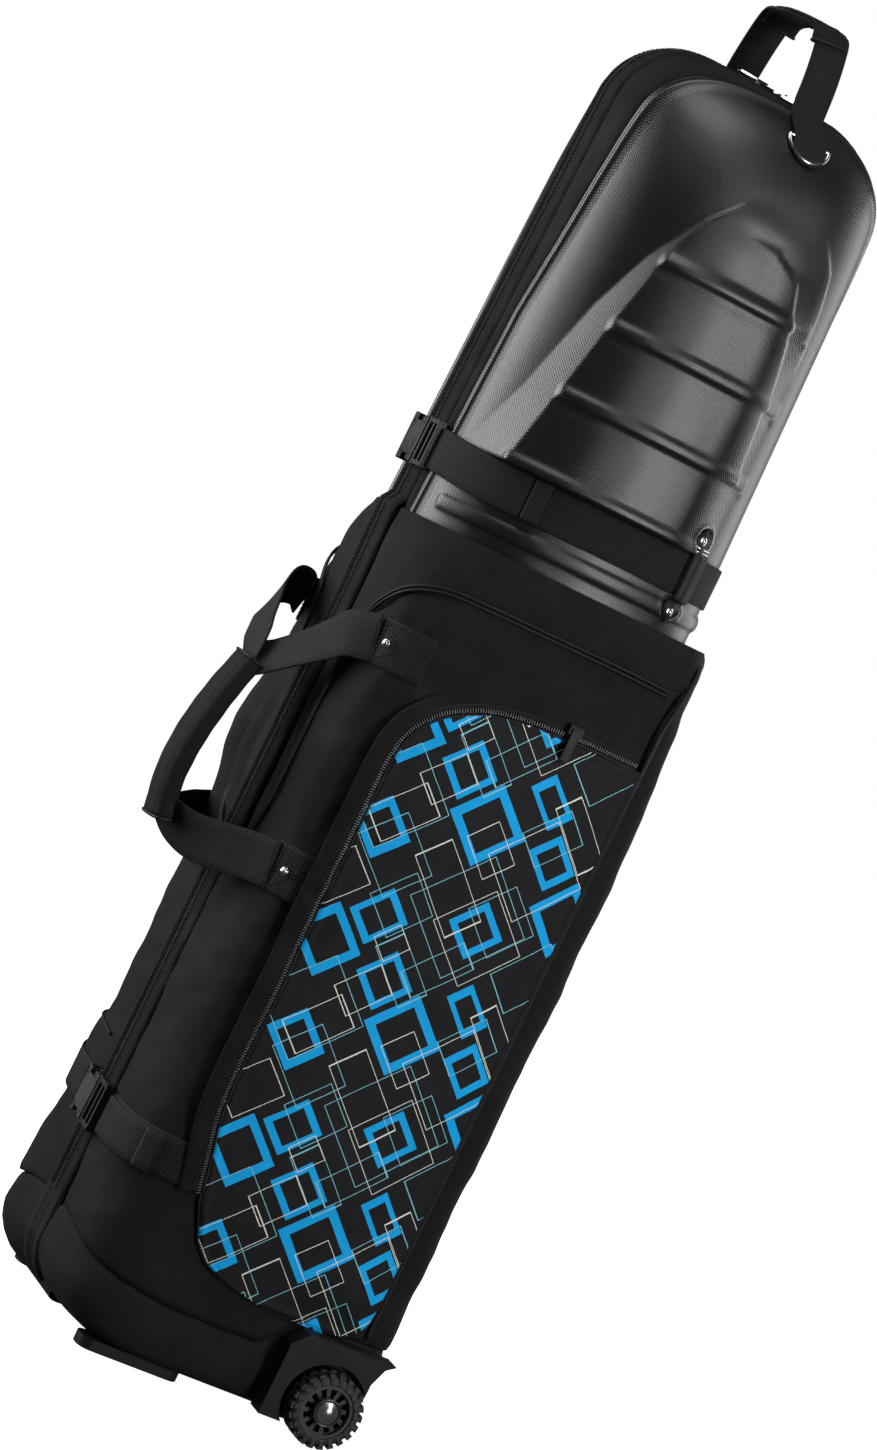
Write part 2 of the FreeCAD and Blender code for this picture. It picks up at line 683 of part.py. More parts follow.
def make_lower_straps():
    z = size("lower_z")
    section = fabric_section(z)
    grow = 0.6 + size("web_t") / 2.0
    first = angle_of(section, size("strap_end_x") - 3.0)
    near = belt(section, z, first, 53.0, grow, 14)
    far = [(V(-p.x, p.y, p.z + 0.0009 * (p.x - 30.0) ** 2), side)
           for p, side in belt(section, z + 4.0, first, 53.0, grow, 14)]
    tail = belt(section, z - 2.0, angle_of(section, size("strap_end_x") + 4.0), 45.0,
                grow + size("web_t") + 0.4, 8)
    width = size("lower_w")
    thick = size("web_t")
    return [free_shape("lower_strap_near", ribbon(near, width, thick)),
            free_shape("lower_strap_far", ribbon(far, width, thick)),
            free_shape("lower_strap_tail", ribbon(tail, width - 1.0, thick))]


def make_buckle(which, height, face_y):
    """A side-release buckle: the socket stays with the far strap, the prongs with the near."""
    back = "ctr_y - %s - buckle_gap" % face_y
    low = "%s - buckle_w / 2" % height
    outside = block(which + "_socket_body", ("buckle_len", "buckle_t", "buckle_w"),
                    ("-buckle_len + 6", back + " - buckle_t", low))
    inside = block(which + "_socket_bore", ("buckle_len", "socket_t", "buckle_w - 8"),
                   ("-buckle_len + 6 + 12", back + " - buckle_t / 2 - socket_t / 2", low + " + 4"))
    socket = doc.addObject("Part::Cut", which + "_buckle_socket")
    socket.Base = outside
    socket.Tool = inside
    frame = block(which + "_plug_frame", ("strap_end_x - 9", "buckle_t - 3", "buckle_w"),
                  ("6.6", back + " - buckle_t + 1.5", low))
    window = block(which + "_plug_window", ("8", "buckle_t", "buckle_w - 10"),
                   ("18", back + " - buckle_t", low + " + 5"))
    open_frame = doc.addObject("Part::Cut", which + "_plug_open_frame")
    open_frame.Base = frame
    open_frame.Tool = window
    prongs = []
    for k, (start, width) in enumerate((("7", "7"), ("buckle_w / 2 - 5", "10"),
                                        ("buckle_w - 14", "7"))):
        prongs.append(block("%s_prong_%d" % (which, k + 1), ("prong_len", "prong_t", width),
                            ("7 - prong_len", back + " - buckle_t / 2 - prong_t / 2",
                             low + " + " + start)))
    plug = doc.addObject("Part::MultiFuse", which + "_buckle_plug")
    plug.Shapes = [open_frame] + prongs
    return socket, plug


def make_keeper():
    """The short webbing band that holds the upper strap down on the shell's near side."""
    section = shell_section(size("upper_z"))
    angle = 180.0 - math.degrees(math.atan2(123.0, size("keeper_y")))
    steps = ((-41.0, 1.6), (-25.0, 1.6), (-22.0, 5.2), (22.0, 5.2), (25.0, 1.6), (41.0, 1.6))
    x1, y1 = ring_point(section, angle - 3.0)
    x2, y2 = ring_point(section, angle + 3.0)
    across = V(x2 - x1, y2 - y1, 0).normalize()
    stations = []
    for dz, grow in steps:
        x, y = ring_point(section, angle, grow)
        stations.append((V(x, y, size("upper_z") + dz), across))
    strap = free_shape("strap_keeper_near", ribbon(stations, size("keeper_w"), 1.6))
    outward = across.cross(Z_DIR)
    if outward.x < 0:
        outward = outward * -1.0
    rivets = []
    for dz in (-34.0, 34.0):
        x, y = ring_point(section, angle, 2.8)
        rivets.append(Part.makeCylinder(size("rivet_r"), size("rivet_h"),
                                        V(x, y, size("upper_z") + dz), outward))
    return strap, rivets


# ---------------------------------------------------------------- carry handle

def make_patches():
    """Webbing ends of the carry handle, sewn flat round the front corner with a rivet each."""
    solids = []
    rivets = []
    for z, last in ((671.0, 57.0), (453.0, 53.5)):
        section = fabric_section(z)
        route = belt(section, z, 38.5, last, 0.5 + size("patch_t") / 2.0, 8)
        solids.append(ribbon(route, size("patch_w"), size("patch_t")))
        x, y = ring_point(section, 46.0, size("patch_t") + 0.9)
        px, py = ring_point(section, 44.0)
        qx, qy = ring_point(section, 48.0)
        outward = V(qx - px, qy - py, 0).cross(Z_DIR).normalize()
        rivets.append(Part.makeCylinder(size("rivet_r"), size("rivet_h"), V(x, y, z), outward))
    return free_shape("handle_patches_near", Part.makeCompound(solids)), rivets


def loop_stations(side, grip_y):
    """The carry webbing: off the upper patch, down through the grip, back to the lower one."""
    tilt = V(side * 0.75, -0.1, 0.65)
    flat = V(1, 0, 0)
    ends = []
    for z in (671.0, 453.0):
        x, y = ring_point(fabric_section(z), 37.0, size("patch_t") + 2.0)
        ends.append((x, y, z))
    points = [
        (ends[0], Z_DIR), ((82.0, -173.0, 659.0), Z_DIR), ((50.0, -199.0, 640.0), tilt),
        ((20.0, grip_y + 8.0, 622.0), V(side * 0.95, 0, 0.3)), ((0.0, grip_y + 2.0, 600.0), flat),
        ((0.0, grip_y - 1.5, 560.0), flat), ((0.0, grip_y - 2.5, 520.0), flat),
        ((0.0, grip_y - 1.5, 480.0), flat), ((0.0, grip_y + 2.0, 444.0), flat),
        ((18.0, grip_y + 9.0, 428.0), V(side * 0.95, 0, -0.3)),
        ((50.0, -198.0, 433.0), V(side * 0.75, -0.1, -0.65)), ((80.0, -174.0, 443.0), -Z_DIR),
        (ends[1], -Z_DIR)]
    return [(V(side * x, y, z), across) for (x, y, z), across in points]


def make_carry_handle():
    width = size("loop_w")
    thick = size("loop_t")
    near = ribbon(loop_stations(1, size("grip_y") - 3.4), width, thick)
    far = ribbon(loop_stations(-1, size("grip_y") + 3.4), width - 4.0, thick)
    half = size("grip_hw")
    deep = size("grip_t") / 2.0
    wall = size("grip_wall")
    wires = []
    for k in range(7):
        z = blend_value(size("grip_low") + 8.0, size("grip_top") - 8.0, k / 6.0)
        bow = 3.5 * math.sin(math.pi * k / 6.0) - 2.0
        y = size("grip_y") - bow
        corners = [(-half, -deep), (half + 3, -deep), (half + 3, deep), (-half, deep),
                   (-half, deep - wall), (half + 3 - wall, deep - wall),
                   (half + 3 - wall, wall - deep), (-half, wall - deep)]
        ring = [V(x, y + dy, z) for x, dy in corners]
        wires.append(Part.makePolygon(ring + ring[:1]))
    return [free_shape("carry_loop_near", near), free_shape("carry_loop_far", far),
            free_shape("handle_grip", loft(wires, True))]


# ---------------------------------------------------------------- grab handle and D-rings

def dome_height(x):
    share = (1.0 - (x / size("shell_hw")) ** size("dome_pow")) ** (1.0 / size("dome_pow"))
    return size("shell_top") - size("dome_rise") * (1.0 - share)


def make_grab_handle(label, side, leg_y):
    """Half of the top handle: a tab on the dome, the leg and half of the crown."""
    middle_y = (size("grab_near_y") + size("grab_far_y")) / 2.0
    lift = 0.8 + size("grab_t") / 2.0
    top = size("grab_top") - size("grab_t") / 2.0 + 1.5
    route = [(94.2, 0.0, dome_height(94.2) + lift + 2.2), (76.0, 0.0, dome_height(76.0) + lift),
             (66.0, 0.0, dome_height(66.0) + lift), (60.0, 0.0, 1268.0), (56.0, 0.1, 1290.0),
             (51.0, 0.3, 1316.0), (44.0, 0.5, 1333.0), (32.0, 0.7, top - 3.5),
             (16.0, 0.85, top - 1.0), (0.4, 1.0, top)]
    stations = []
    for x, share, z in route:
        y = blend_value(leg_y, middle_y, share)
        stations.append((V(side * x, y, z), Y_DIR))
    return free_shape(label, ribbon(stations, size("grab_w"), size("grab_t")))


def make_d_ring(label, side, leg_y):
    """A wire D that lies down the dome from the end of the handle's tab."""
    radius = size("ring_r")
    wire = size("ring_wire")
    bar_x = size("ring_x")
    drop = math.atan2(dome_height(bar_x) - dome_height(bar_x + 18.0), 18.0)
    middle = V(0, leg_y, 0)
    bow = Part.makeTorus(radius, wire, middle, Z_DIR, 0, 360, 180)
    bow.rotate(middle, Z_DIR, -90)
    bar = Part.makeCylinder(wire, 2 * radius, V(0, leg_y - radius, 0), Y_DIR)
    ring = bow.fuse(bar).removeSplitter()
    ring.rotate(V(0, 0, 0), Y_DIR, math.degrees(drop))
    ring.translate(V(bar_x, 0, dome_height(bar_x) + wire + 3.8))
    if side < 0:
        ring = ring.mirror(V(0, 0, 0), X_DIR)
    return free_shape(label, ring)


# ---------------------------------------------------------------- the whole case

nodes = []
pairs = {}


def keep(part):
    nodes.append(part)
    return part


def keep_pair(near, far_label):
    keep(near)
    keep(mirror(near, far_label))


keep(make_base_tub())
keep(make_base_board())
keep_pair(make_foot(), "foot_far")
keep_pair(make_housing(), "wheel_housing_far")
keep_pair(make_axle(), "axle_far")
keep_pair(make_bush(), "bush_far")
keep_pair(make_hub(), "hub_far")
keep_pair(make_tyre(), "tyre_far")
keep_pair(make_hub_cap(), "hub_cap_far")
keep_pair(make_side_panel(), "far_side_panel")
keep_pair(free_shape("near_shell", shell_solid()), "far_shell")
keep_pair(make_foam_pad(), "foam_pad_far")
keep(make_inner_straps())
keep(make_zipper_tape("zipper_tape_near", 1, size("side_z") + 4.0))
keep(make_zipper_tape("zipper_tape_far", -1, size("tape_low_z") + 18.0))
corner_piping, panel_piping = make_piping()
keep_pair(corner_piping, "corner_piping_far")
keep(panel_piping)
keep(make_pocket())
keep(make_pocket_band())
for slider_and_pull in (make_main_slider("front", -1), make_main_slider("back", 1),
                        make_pocket_slider()):
    for piece in slider_and_pull:
        keep(piece)
for strap in make_upper_straps() + make_lower_straps():
    keep(strap)
for piece in make_buckle("upper", "upper_z", "shell_fy") + make_buckle("lower", "lower_z",
                                                                       "body_fy"):
    keep(piece)
keeper, keeper_rivets = make_keeper()
keep_pair(keeper, "strap_keeper_far")
patches, patch_rivets = make_patches()
keep_pair(patches, "handle_patches_far")
near_rivets = free_shape("rivets_near", Part.makeCompound(keeper_rivets + patch_rivets))
keep_pair(near_rivets, "rivets_far")
for piece in make_carry_handle():
    keep(piece)
for name, way in (("near", 1), ("far", -1)):
    leg = size("grab_%s_y" % name)
    keep(make_grab_handle("grab_handle_" + name, way, leg))
    keep(make_d_ring("d_ring_" + name, way, leg))

doc.recompute()

for item in doc.Objects:
    if "Invalid" in item.State or "Error" in item.State:
        raise RuntimeError("%s failed: %s" % (item.Label, item.State))
os.makedirs("parts", exist_ok=True)
for old in os.listdir("parts"):
    os.remove(os.path.join("parts", old))
for part in nodes:
    if part.Shape.isNull() or not part.Shape.isValid() or not part.Shape.Solids:
        raise RuntimeError("bad shape: " + part.Label)
for part in nodes:
    part.Shape.exportStep("parts/%s.step" % part.Label)
whole = FreeCAD.BoundBox()
for part in nodes:
    whole.add(part.Shape.BoundBox)
print("%d nodes, box %s" % (len(nodes), whole))
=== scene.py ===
import json
import math

import bpy
import numpy as np
from mathutils import Matrix, Vector


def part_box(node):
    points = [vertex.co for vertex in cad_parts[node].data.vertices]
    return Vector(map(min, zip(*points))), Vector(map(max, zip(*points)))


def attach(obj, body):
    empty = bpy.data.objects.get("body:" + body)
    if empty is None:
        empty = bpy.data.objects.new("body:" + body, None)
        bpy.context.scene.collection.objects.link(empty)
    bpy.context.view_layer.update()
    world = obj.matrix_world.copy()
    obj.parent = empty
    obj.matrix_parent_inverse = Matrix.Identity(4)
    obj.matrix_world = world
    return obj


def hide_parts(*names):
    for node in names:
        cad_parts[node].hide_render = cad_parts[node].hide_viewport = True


# Golf travel case.  Shapes are worked out in millimetres about the case's own centre line
# (x across, y front to back, z up) and moved over the frame's origin when a mesh is made.

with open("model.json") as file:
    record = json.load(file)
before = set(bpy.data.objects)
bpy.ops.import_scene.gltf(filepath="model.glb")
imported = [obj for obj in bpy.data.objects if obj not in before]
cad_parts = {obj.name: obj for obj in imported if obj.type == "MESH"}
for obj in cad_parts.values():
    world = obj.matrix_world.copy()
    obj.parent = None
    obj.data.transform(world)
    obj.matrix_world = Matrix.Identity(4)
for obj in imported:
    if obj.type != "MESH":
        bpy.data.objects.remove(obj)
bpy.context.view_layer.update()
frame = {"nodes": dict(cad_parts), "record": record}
BODY_BACK = 152.0
CENTRE_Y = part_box("base_tub")[1].y * 1000.0 - BODY_BACK

NEAR = "near_half"
ROOT = "root"
SIDES = (("near", False, NEAR), ("far", True, ROOT))


# ---------------------------------------------------------------- small maths

def lerp(a, b, t):
    return a + (b - a) * t


def smooth(t):
    t = np.clip(t, 0.0, 1.0)
    return t * t * (3.0 - 2.0 * t)


def bump(distance, width):
    """A rounded hill of height 1 with soft feet."""
    return np.exp(-(np.asarray(distance) / width) ** 2)


def distance_to_line(s, z, line):
    """Distance of surface places (s, z) from a polyline."""
    best = np.full(np.shape(s), 1e9)
    for (s0, z0), (s1, z1) in zip(line[:-1], line[1:]):
        ds, dz = s1 - s0, z1 - z0
        t = np.clip(((s - s0) * ds + (z - z0) * dz) / (ds * ds + dz * dz), 0.0, 1.0)
        best = np.minimum(best, np.hypot(s - s0 - t * ds, z - z0 - t * dz))
    return best


def waves(s, z, seed, count, shortest, longest):
    """A smooth random field of about unit height, from a few waves in random directions."""
    rng = np.random.default_rng(seed)
    field = np.zeros(np.shape(s))
    for _ in range(count):
        length = rng.uniform(shortest, longest)
        turn = rng.uniform(0, math.pi)
        phase = rng.uniform(0, math.tau)
        field = field + np.sin((s * math.cos(turn) + z * math.sin(turn)) * math.tau / length + phase)
    return field / math.sqrt(count)


def rounded_line(points, radius=12.0, steps=6):
    """A polyline with its corners rounded, resampled finely."""
    points = [np.asarray(p, float) for p in points]
    out = [points[0]]
    for before, corner, after in zip(points[:-2], points[1:-1], points[2:]):
        a = before - corner
        b = after - corner
        ra = min(radius, 0.45 * np.linalg.norm(a))
        rb = min(radius, 0.45 * np.linalg.norm(b))
        pa = corner + a / np.linalg.norm(a) * ra
        pb = corner + b / np.linalg.norm(b) * rb
        for k in range(steps + 1):
            t = k / steps
            out.append((1 - t) ** 2 * pa + 2 * t * (1 - t) * corner + t * t * pb)
    out.append(points[-1])
    return np.array(out)


def run_along(points):
    """Distance travelled along a line at each of its points."""
    return np.concatenate([[0.0], np.cumsum(np.linalg.norm(np.diff(points, axis=0), axis=1))])


def directions(line):
    """Unit direction of travel at each point of a line."""
    ahead = np.gradient(line, axis=0)
    return ahead / (np.linalg.norm(ahead, axis=1, keepdims=True) + 1e-9)


def left_of(line):
    """Unit direction to the left of a flat line's direction of travel."""
    ahead = directions(line)
    return np.stack([-ahead[:, 1], ahead[:, 0]], 1)


def resample_to(points, count):
    """The same line with so many points, evenly spread."""
    points = np.asarray(points, float)
    arc = run_along(points)
    places = np.linspace(0.0, arc[-1], count)
    return np.stack([np.interp(places, arc, column) for column in points.T], 1)


def resample(points, step):
    """The same line with points an even step apart."""
    return resample_to(points, max(2, int(round(run_along(points)[-1] / step)) + 1))


def spline(points, step):
    """A smooth curve through the points (Catmull-Rom), resampled to an even step."""
    p = np.asarray(points, float)
    p = np.vstack([2 * p[0] - p[1], p, 2 * p[-1] - p[-2]])
    out = []
    for k in range(1, len(p) - 2):
        for t in np.linspace(0, 1, 12, endpoint=False):
            out.append(0.5 * (2 * p[k] + (p[k + 1] - p[k - 1]) * t
                              + (2 * p[k - 1] - 5 * p[k] + 4 * p[k + 1] - p[k + 2]) * t ** 2
                              + (3 * p[k] - p[k - 1] - 3 * p[k + 1] + p[k + 2]) * t ** 3))
    out.append(p[-2])
    return resample(out, step)


# ---------------------------------------------------------------- the case's outlines

# A plan section is: half width, reach to the front, reach to the back, and how square its
# front and back corners are.

def fabric_section(z):
    """The padded body's plan at a height: straight, then a little fuller towards the rim."""
    t = max(0.0, (z - 700.0) / 83.0)
    return (lerp(140.0, 139.0, t), lerp(153.0, 155.0, t), lerp(152.0, 152.6, t),
            lerp(5.2, 2.5, t), lerp(12.0, 4.0, t))


def shell_section(z):
    """The moulded shell's plan at a height: it leans in and closes into a dome."""
    rise = max(0.0, (z - 1100.0) / 170.0)
    dome = max(0.0, 1.0 - rise ** 2.4) ** (1 / 2.4)
    lean = 0.0250 * max(0.0, z - 783.0)
    reach = []
    for base, radius in ((150.0, 68.0), (148.0, 76.0)):
        over = max(0.0, z - 1270.0 + radius)
        reach.append(base - lean - radius + math.sqrt(max(0.0, radius ** 2 - over ** 2)))
    return (134.0 * dome, reach[0], reach[1], 2.1, 2.6)


BARREL = fabric_section(400.0)
FINE = np.radians(np.linspace(0.0, 180.0, 1441))


def outline(section, grow=0.0):
    """Points of a plan section from the front, round the near side, to the back."""
    half, front, back, front_pow, back_pow = section
    across, ahead = np.sin(FINE), -np.cos(FINE)
    reach = np.where(ahead < 0, front, back) + grow
    power = np.where(ahead < 0, front_pow, back_pow)
    ray = ((np.abs(across) / (half + grow)) ** power
           + (np.abs(ahead) / reach) ** power) ** (-1.0 / power)
    line = np.stack([across * ray, ahead * ray], 1)
    return line, run_along(line)


def arc_at_x(line, arc, x, front=True):
    """Arc length where the outline passes x, on its front or its back."""
    middle = len(line) // 2
    if front:
        return float(np.interp(x, line[:middle, 0], arc[:middle]))
    return float(np.interp(-x, -line[middle:, 0], arc[middle:]))


def place_on(section, x, y):
    """The arc length, from the front, of the outline's point nearest to (x, y)."""
    line, arc = outline(section)
    return float(arc[np.argmin(np.hypot(line[:, 0] - x, line[:, 1] - y))])


def barrel_s(x, y):
    """Arc length along the straight barrel."""
    return place_on(BARREL, x, y)


def shell_s(x, y, z):
    """Arc length measured from the middle of the near side (y = 0)."""
    section = shell_section(z)
    return place_on(section, x, y) - place_on(section, section[0], 0.0)


def on_section(section, s, grow=0.0):
    """Plan points at arc lengths s, moved outwards by grow."""
    line, arc = outline(section)
    s = np.asarray(s, float)
    x = np.interp(s, arc, line[:, 0])
    y = np.interp(s, arc, line[:, 1])
    ahead = np.stack([np.interp(s + 1.0, arc, line[:, 0]) - np.interp(s - 1.0, arc, line[:, 0]),
                      np.interp(s + 1.0, arc, line[:, 1]) - np.interp(s - 1.0, arc, line[:, 1])], -1)
    ahead /= np.linalg.norm(ahead, axis=-1, keepdims=True) + 1e-9
    return x + ahead[..., 1] * grow, y - ahead[..., 0] * grow


def on_fabric(places, grow=0.0):
    """3-D points on the fabric body from (s, z) places."""
    out = []
    for s, z in places:
        x, y = on_section(fabric_section(z), s, grow)
        out.append((float(x), float(y), z))
    return np.array(out)


def grid_normals(points):
    """Outward directions of a grid of points."""
    n = np.cross(np.gradient(points, axis=1), np.gradient(points, axis=0))
    return n / (np.linalg.norm(n, axis=2, keepdims=True) + 1e-9)


# ---------------------------------------------------------------- making meshes

def make_object(name, points, faces, body, material, uvs=None, mirror=False, slot=None,
                replaces=(), smooth_shade=True):
    """A mesh from millimetre points; it rides on the body."""
    points = np.array(points, float).reshape(-1, 3)
    if mirror:
        points[:, 0] *= -1.0
        faces = [tuple(reversed(f)) for f in faces]
    points = (points + np.array([0.0, CENTRE_Y, 0.0])) * 0.001
    mesh = bpy.data.meshes.new(name)
    mesh.from_pydata(points.tolist(), [], [tuple(int(i) for i in f) for f in faces])
    mesh.update()
    if uvs is not None:
        layer = mesh.uv_layers.new(name="UVMap")
        index = np.zeros(len(mesh.loops), int)
        mesh.loops.foreach_get("vertex_index", index)
        flat = np.asarray(uvs, float).reshape(-1, 2)[index] * 0.001
        layer.data.foreach_set("uv", flat.astype(np.float32).ravel())
    obj = bpy.data.objects.new(name, mesh)
    bpy.context.scene.collection.objects.link(obj)
    if smooth_shade:
        mesh.polygons.foreach_set("use_smooth", [True] * len(mesh.polygons))
    mesh.materials.append(material)
    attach(obj, body)
    if replaces:
        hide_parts(*replaces)
    return obj


def grid_faces(rows, columns, closed=False):
    """Quads between neighbouring rows; closed joins the last column to the first."""
    faces = []
    last = columns if closed else columns - 1
    for r in range(rows - 1):
        for c in range(last):
            d = (c + 1) % columns
            faces.append((r * columns + c, r * columns + d,
                          (r + 1) * columns + d, (r + 1) * columns + c))
    return faces


def grid_object(name, points, uvs, body, material, **options):
    """A mesh from a grid of points."""
    rows, columns = points.shape[:2]
    return make_object(name, points, grid_faces(rows, columns), body, material, uvs=uvs, **options)


def thicken(obj, thickness, second=None):
    """Gives a skin an inner face, with a second material on it."""
    if second is not None:
        obj.data.materials.append(second)
    modifier = obj.modifiers.new("wall", "SOLIDIFY")
    modifier.thickness = thickness * 0.001
    modifier.offset = -1.0
    modifier.material_offset = 1 if second is not None else 0
    return obj


def soften(obj, width, segments):
    """Rounds an object's sharp edges."""
    modifier = obj.modifiers.new("edges", "BEVEL")
    modifier.width = width * 0.001
    modifier.segments = segments
    modifier.limit_method = "ANGLE"
    modifier.angle_limit = math.radians(35.0)
    modifier.harden_normals = False
    return obj


class Parts:
    """Collects simple shapes that become one mesh."""

    def __init__(self):
        self.points = []
        self.faces = []
        self.uvs = []

    def add(self, points, faces, uvs=None):
        start = len(self.points)
        points = np.asarray(points, float).reshape(-1, 3)
        self.points.extend(points.tolist())
        self.faces.extend(tuple(start + i for i in f) for f in faces)
        if uvs is None:
            uvs = np.stack([points[:, 1] + points[:, 0], points[:, 2]], 1)
        self.uvs.extend(np.asarray(uvs, float).reshape(-1, 2).tolist())

    def box(self, centre, size, turn=None):
        """A box; turn is a 3 x 3 rotation."""
        corners = np.array([(x, y, z) for x in (-0.5, 0.5) for y in (-0.5, 0.5)
                            for z in (-0.5, 0.5)]) * np.asarray(size, float)
        if turn is not None:
            corners = corners @ np.asarray(turn).T
        self.add(corners + np.asarray(centre, float),
                 [(0, 1, 3, 2), (4, 6, 7, 5), (0, 4, 5, 1), (2, 3, 7, 6), (0, 2, 6, 4), (1, 5, 7, 3)])

    def sweep(self, centres, sides, normals, profile):
        """A closed cross-section (across, out) swept along a line."""
        centres = np.asarray(centres, float)
        profile = np.asarray(profile, float)
        count = len(profile)
        points, uvs = [], []
        for centre, side, normal, run in zip(centres, sides, normals, run_along(centres)):
            for a, h in profile:
                points.append(centre + side * a + normal * h)
                uvs.append((a, run))
        faces = grid_faces(len(centres), count, closed=True)
        faces.append(tuple(reversed(range(count))))
        faces.append(tuple(range((len(centres) - 1) * count, len(centres) * count)))
        self.add(points, faces, uvs)

    def tube(self, line, radius, segments=8, guide=(0.31, 0.17, 0.93)):
        line = np.asarray(line, float)
        ahead = directions(line)
        side = np.cross(ahead, np.asarray(guide, float))
        side /= np.linalg.norm(side, axis=1, keepdims=True) + 1e-9
        normal = np.cross(side, ahead)
        turns = np.linspace(0, math.tau, segments, endpoint=False)
        profile = np.stack([np.cos(turns), np.sin(turns)], 1) * radius
        self.sweep(line, side, normal, profile)

    def lathe(self, profile, centre, segments=48, way=1.0):
        """A profile (x, radius) turned about an axis along x."""
        points, uvs = [], []
        turns = np.linspace(0, math.tau, segments, endpoint=False)
        for x, radius in profile:
            for turn in turns:
                points.append((centre[0] + way * x, centre[1] + radius * math.cos(turn),
                               centre[2] + radius * math.sin(turn)))
                uvs.append((x, turn * max(radius, 1.0)))
        faces = grid_faces(len(profile), segments, closed=True)
        if way < 0:
            faces = [tuple(reversed(f)) for f in faces]
        self.add(points, faces, uvs)

    def build(self, name, body, material, **options):
        return make_object(name, self.points, self.faces, body, material, uvs=self.uvs, **options)


def strap_profile(width, thick, edge=1.0, columns=6):
    """Cross-section of webbing: flat faces and rounded edges."""
    half = width / 2.0
    top = [(-half + edge + (width - 2 * edge) * k / columns, thick / 2.0) for k in range(columns + 1)]
    bottom = [(a, -thick / 2.0) for a, _ in reversed(top)]
    return top + [(half - 0.25, thick / 4.0), (half - 0.25, -thick / 4.0)] + bottom + [
        (-half + 0.25, -thick / 4.0), (-half + 0.25, thick / 4.0)]


def strap_sides(centres, outward):
    """Side and outward directions along a strap, from a rough outward direction per point."""
    ahead = directions(np.asarray(centres, float))
    outward = np.asarray(outward, float)
    outward = outward - ahead * np.sum(outward * ahead, axis=1, keepdims=True)
    outward /= np.linalg.norm(outward, axis=1, keepdims=True) + 1e-9
    side = np.cross(outward, ahead)
    return side, outward


# ---------------------------------------------------------------- materials

class Shader:
    """A procedural material under construction."""

    def __init__(self, name, roughness, metallic=0.0, specular=0.5, coat=0.0):
        self.material = bpy.data.materials.new(name)
        self.material.use_nodes = True
        self.tree = self.material.node_tree
        self.surface = self.tree.nodes["Principled BSDF"]
        self.surface.inputs["Roughness"].default_value = roughness
        self.surface.inputs["Metallic"].default_value = metallic
        self.surface.inputs["Specular IOR Level"].default_value = specular
        self.surface.inputs["Coat Weight"].default_value = coat
        self.surface.inputs["Coat Roughness"].default_value = 0.3
        self.places = self.tree.nodes.new("ShaderNodeTexCoord")
        self.uv = self.places.outputs["UV"]
        self.object = self.places.outputs["Object"]

    def put(self, value, socket):
        if isinstance(value, bpy.types.NodeSocket):
            self.tree.links.new(value, socket)
        else:
            socket.default_value = value

    def math(self, operation, *values):
        node = self.tree.nodes.new("ShaderNodeMath")
        node.operation = operation
        for value, socket in zip(values, node.inputs):
            self.put(value, socket)
        return node.outputs[0]

    def vector(self, operation, *values):
        node = self.tree.nodes.new("ShaderNodeVectorMath")
        node.operation = operation
        for value, socket in zip(values, node.inputs):
            self.put(value, socket)
        return node.outputs[0]

    def split(self, vector):
        node = self.tree.nodes.new("ShaderNodeSeparateXYZ")
        self.put(vector, node.inputs[0])
        return node.outputs

    def noise(self, vector, scale, detail=3.0, roughness=0.5):
        node = self.tree.nodes.new("ShaderNodeTexNoise")
        self.put(vector, node.inputs["Vector"])
        node.inputs["Scale"].default_value = scale
        node.inputs["Detail"].default_value = detail
        node.inputs["Roughness"].default_value = roughness
        return node.outputs["Fac"]

    def mix(self, share, first, second):
        node = self.tree.nodes.new("ShaderNodeMix")
        node.data_type = "RGBA"
        self.put(share, node.inputs[0])
        for value, socket in ((first, node.inputs[6]), (second, node.inputs[7])):
            if not isinstance(value, bpy.types.NodeSocket):
                value = (*value, 1.0)
            self.put(value, socket)
        return node.outputs[2]

    def range(self, value, low, high, to_low, to_high):
        node = self.tree.nodes.new("ShaderNodeMapRange")
        for item, socket in zip((value, low, high, to_low, to_high), node.inputs):
            self.put(item, socket)
        return node.outputs[0]

    def wave(self, coordinate, pitch):
        """A sine of height 0 to 1 with the pitch in metres."""
        turn = self.math("MULTIPLY", coordinate, math.tau / pitch)
        return self.math("MULTIPLY_ADD", self.math("SINE", turn), 0.5, 0.5)

    def colour(self, value):
        if not isinstance(value, bpy.types.NodeSocket):
            value = (*value, 1.0)
        self.put(value, self.surface.inputs["Base Color"])

    def roughness(self, value):
        self.put(value, self.surface.inputs["Roughness"])

    def relief(self, heights):
        """Bump layers: (height socket, depth in metres)."""
        normal = None
        for height, depth in heights:
            node = self.tree.nodes.new("ShaderNodeBump")
            node.inputs["Distance"].default_value = depth
            node.inputs["Strength"].default_value = 1.0
            self.put(height, node.inputs["Height"])
            if normal is not None:
                self.put(normal, node.inputs["Normal"])
            normal = node.outputs["Normal"]
        self.put(normal, self.surface.inputs["Normal"])


def woven_cloth(name, dark, light, pitch=0.0011, fold=0.0016):
    """Plain weave with broad soft folds of the given depth in metres."""
    shader = Shader(name, 0.84, specular=0.16)
    u, v, _ = shader.split(shader.uv)
    weave = shader.math("MAXIMUM", shader.wave(u, pitch), shader.wave(v, pitch))
    cloud = shader.noise(shader.object, 9.0, 4.0)
    shader.colour(shader.mix(shader.range(cloud, 0.3, 0.7, 0.0, 1.0), dark, light))
    shader.roughness(shader.range(shader.noise(shader.object, 30.0), 0.3, 0.7, 0.78, 0.90))
    shader.relief([(shader.noise(shader.object, 14.0, 5.0, 0.55), fold),
                   (shader.noise(shader.object, 70.0, 3.0), fold * 0.12),
                   (weave, 0.00007)])
    return shader.material


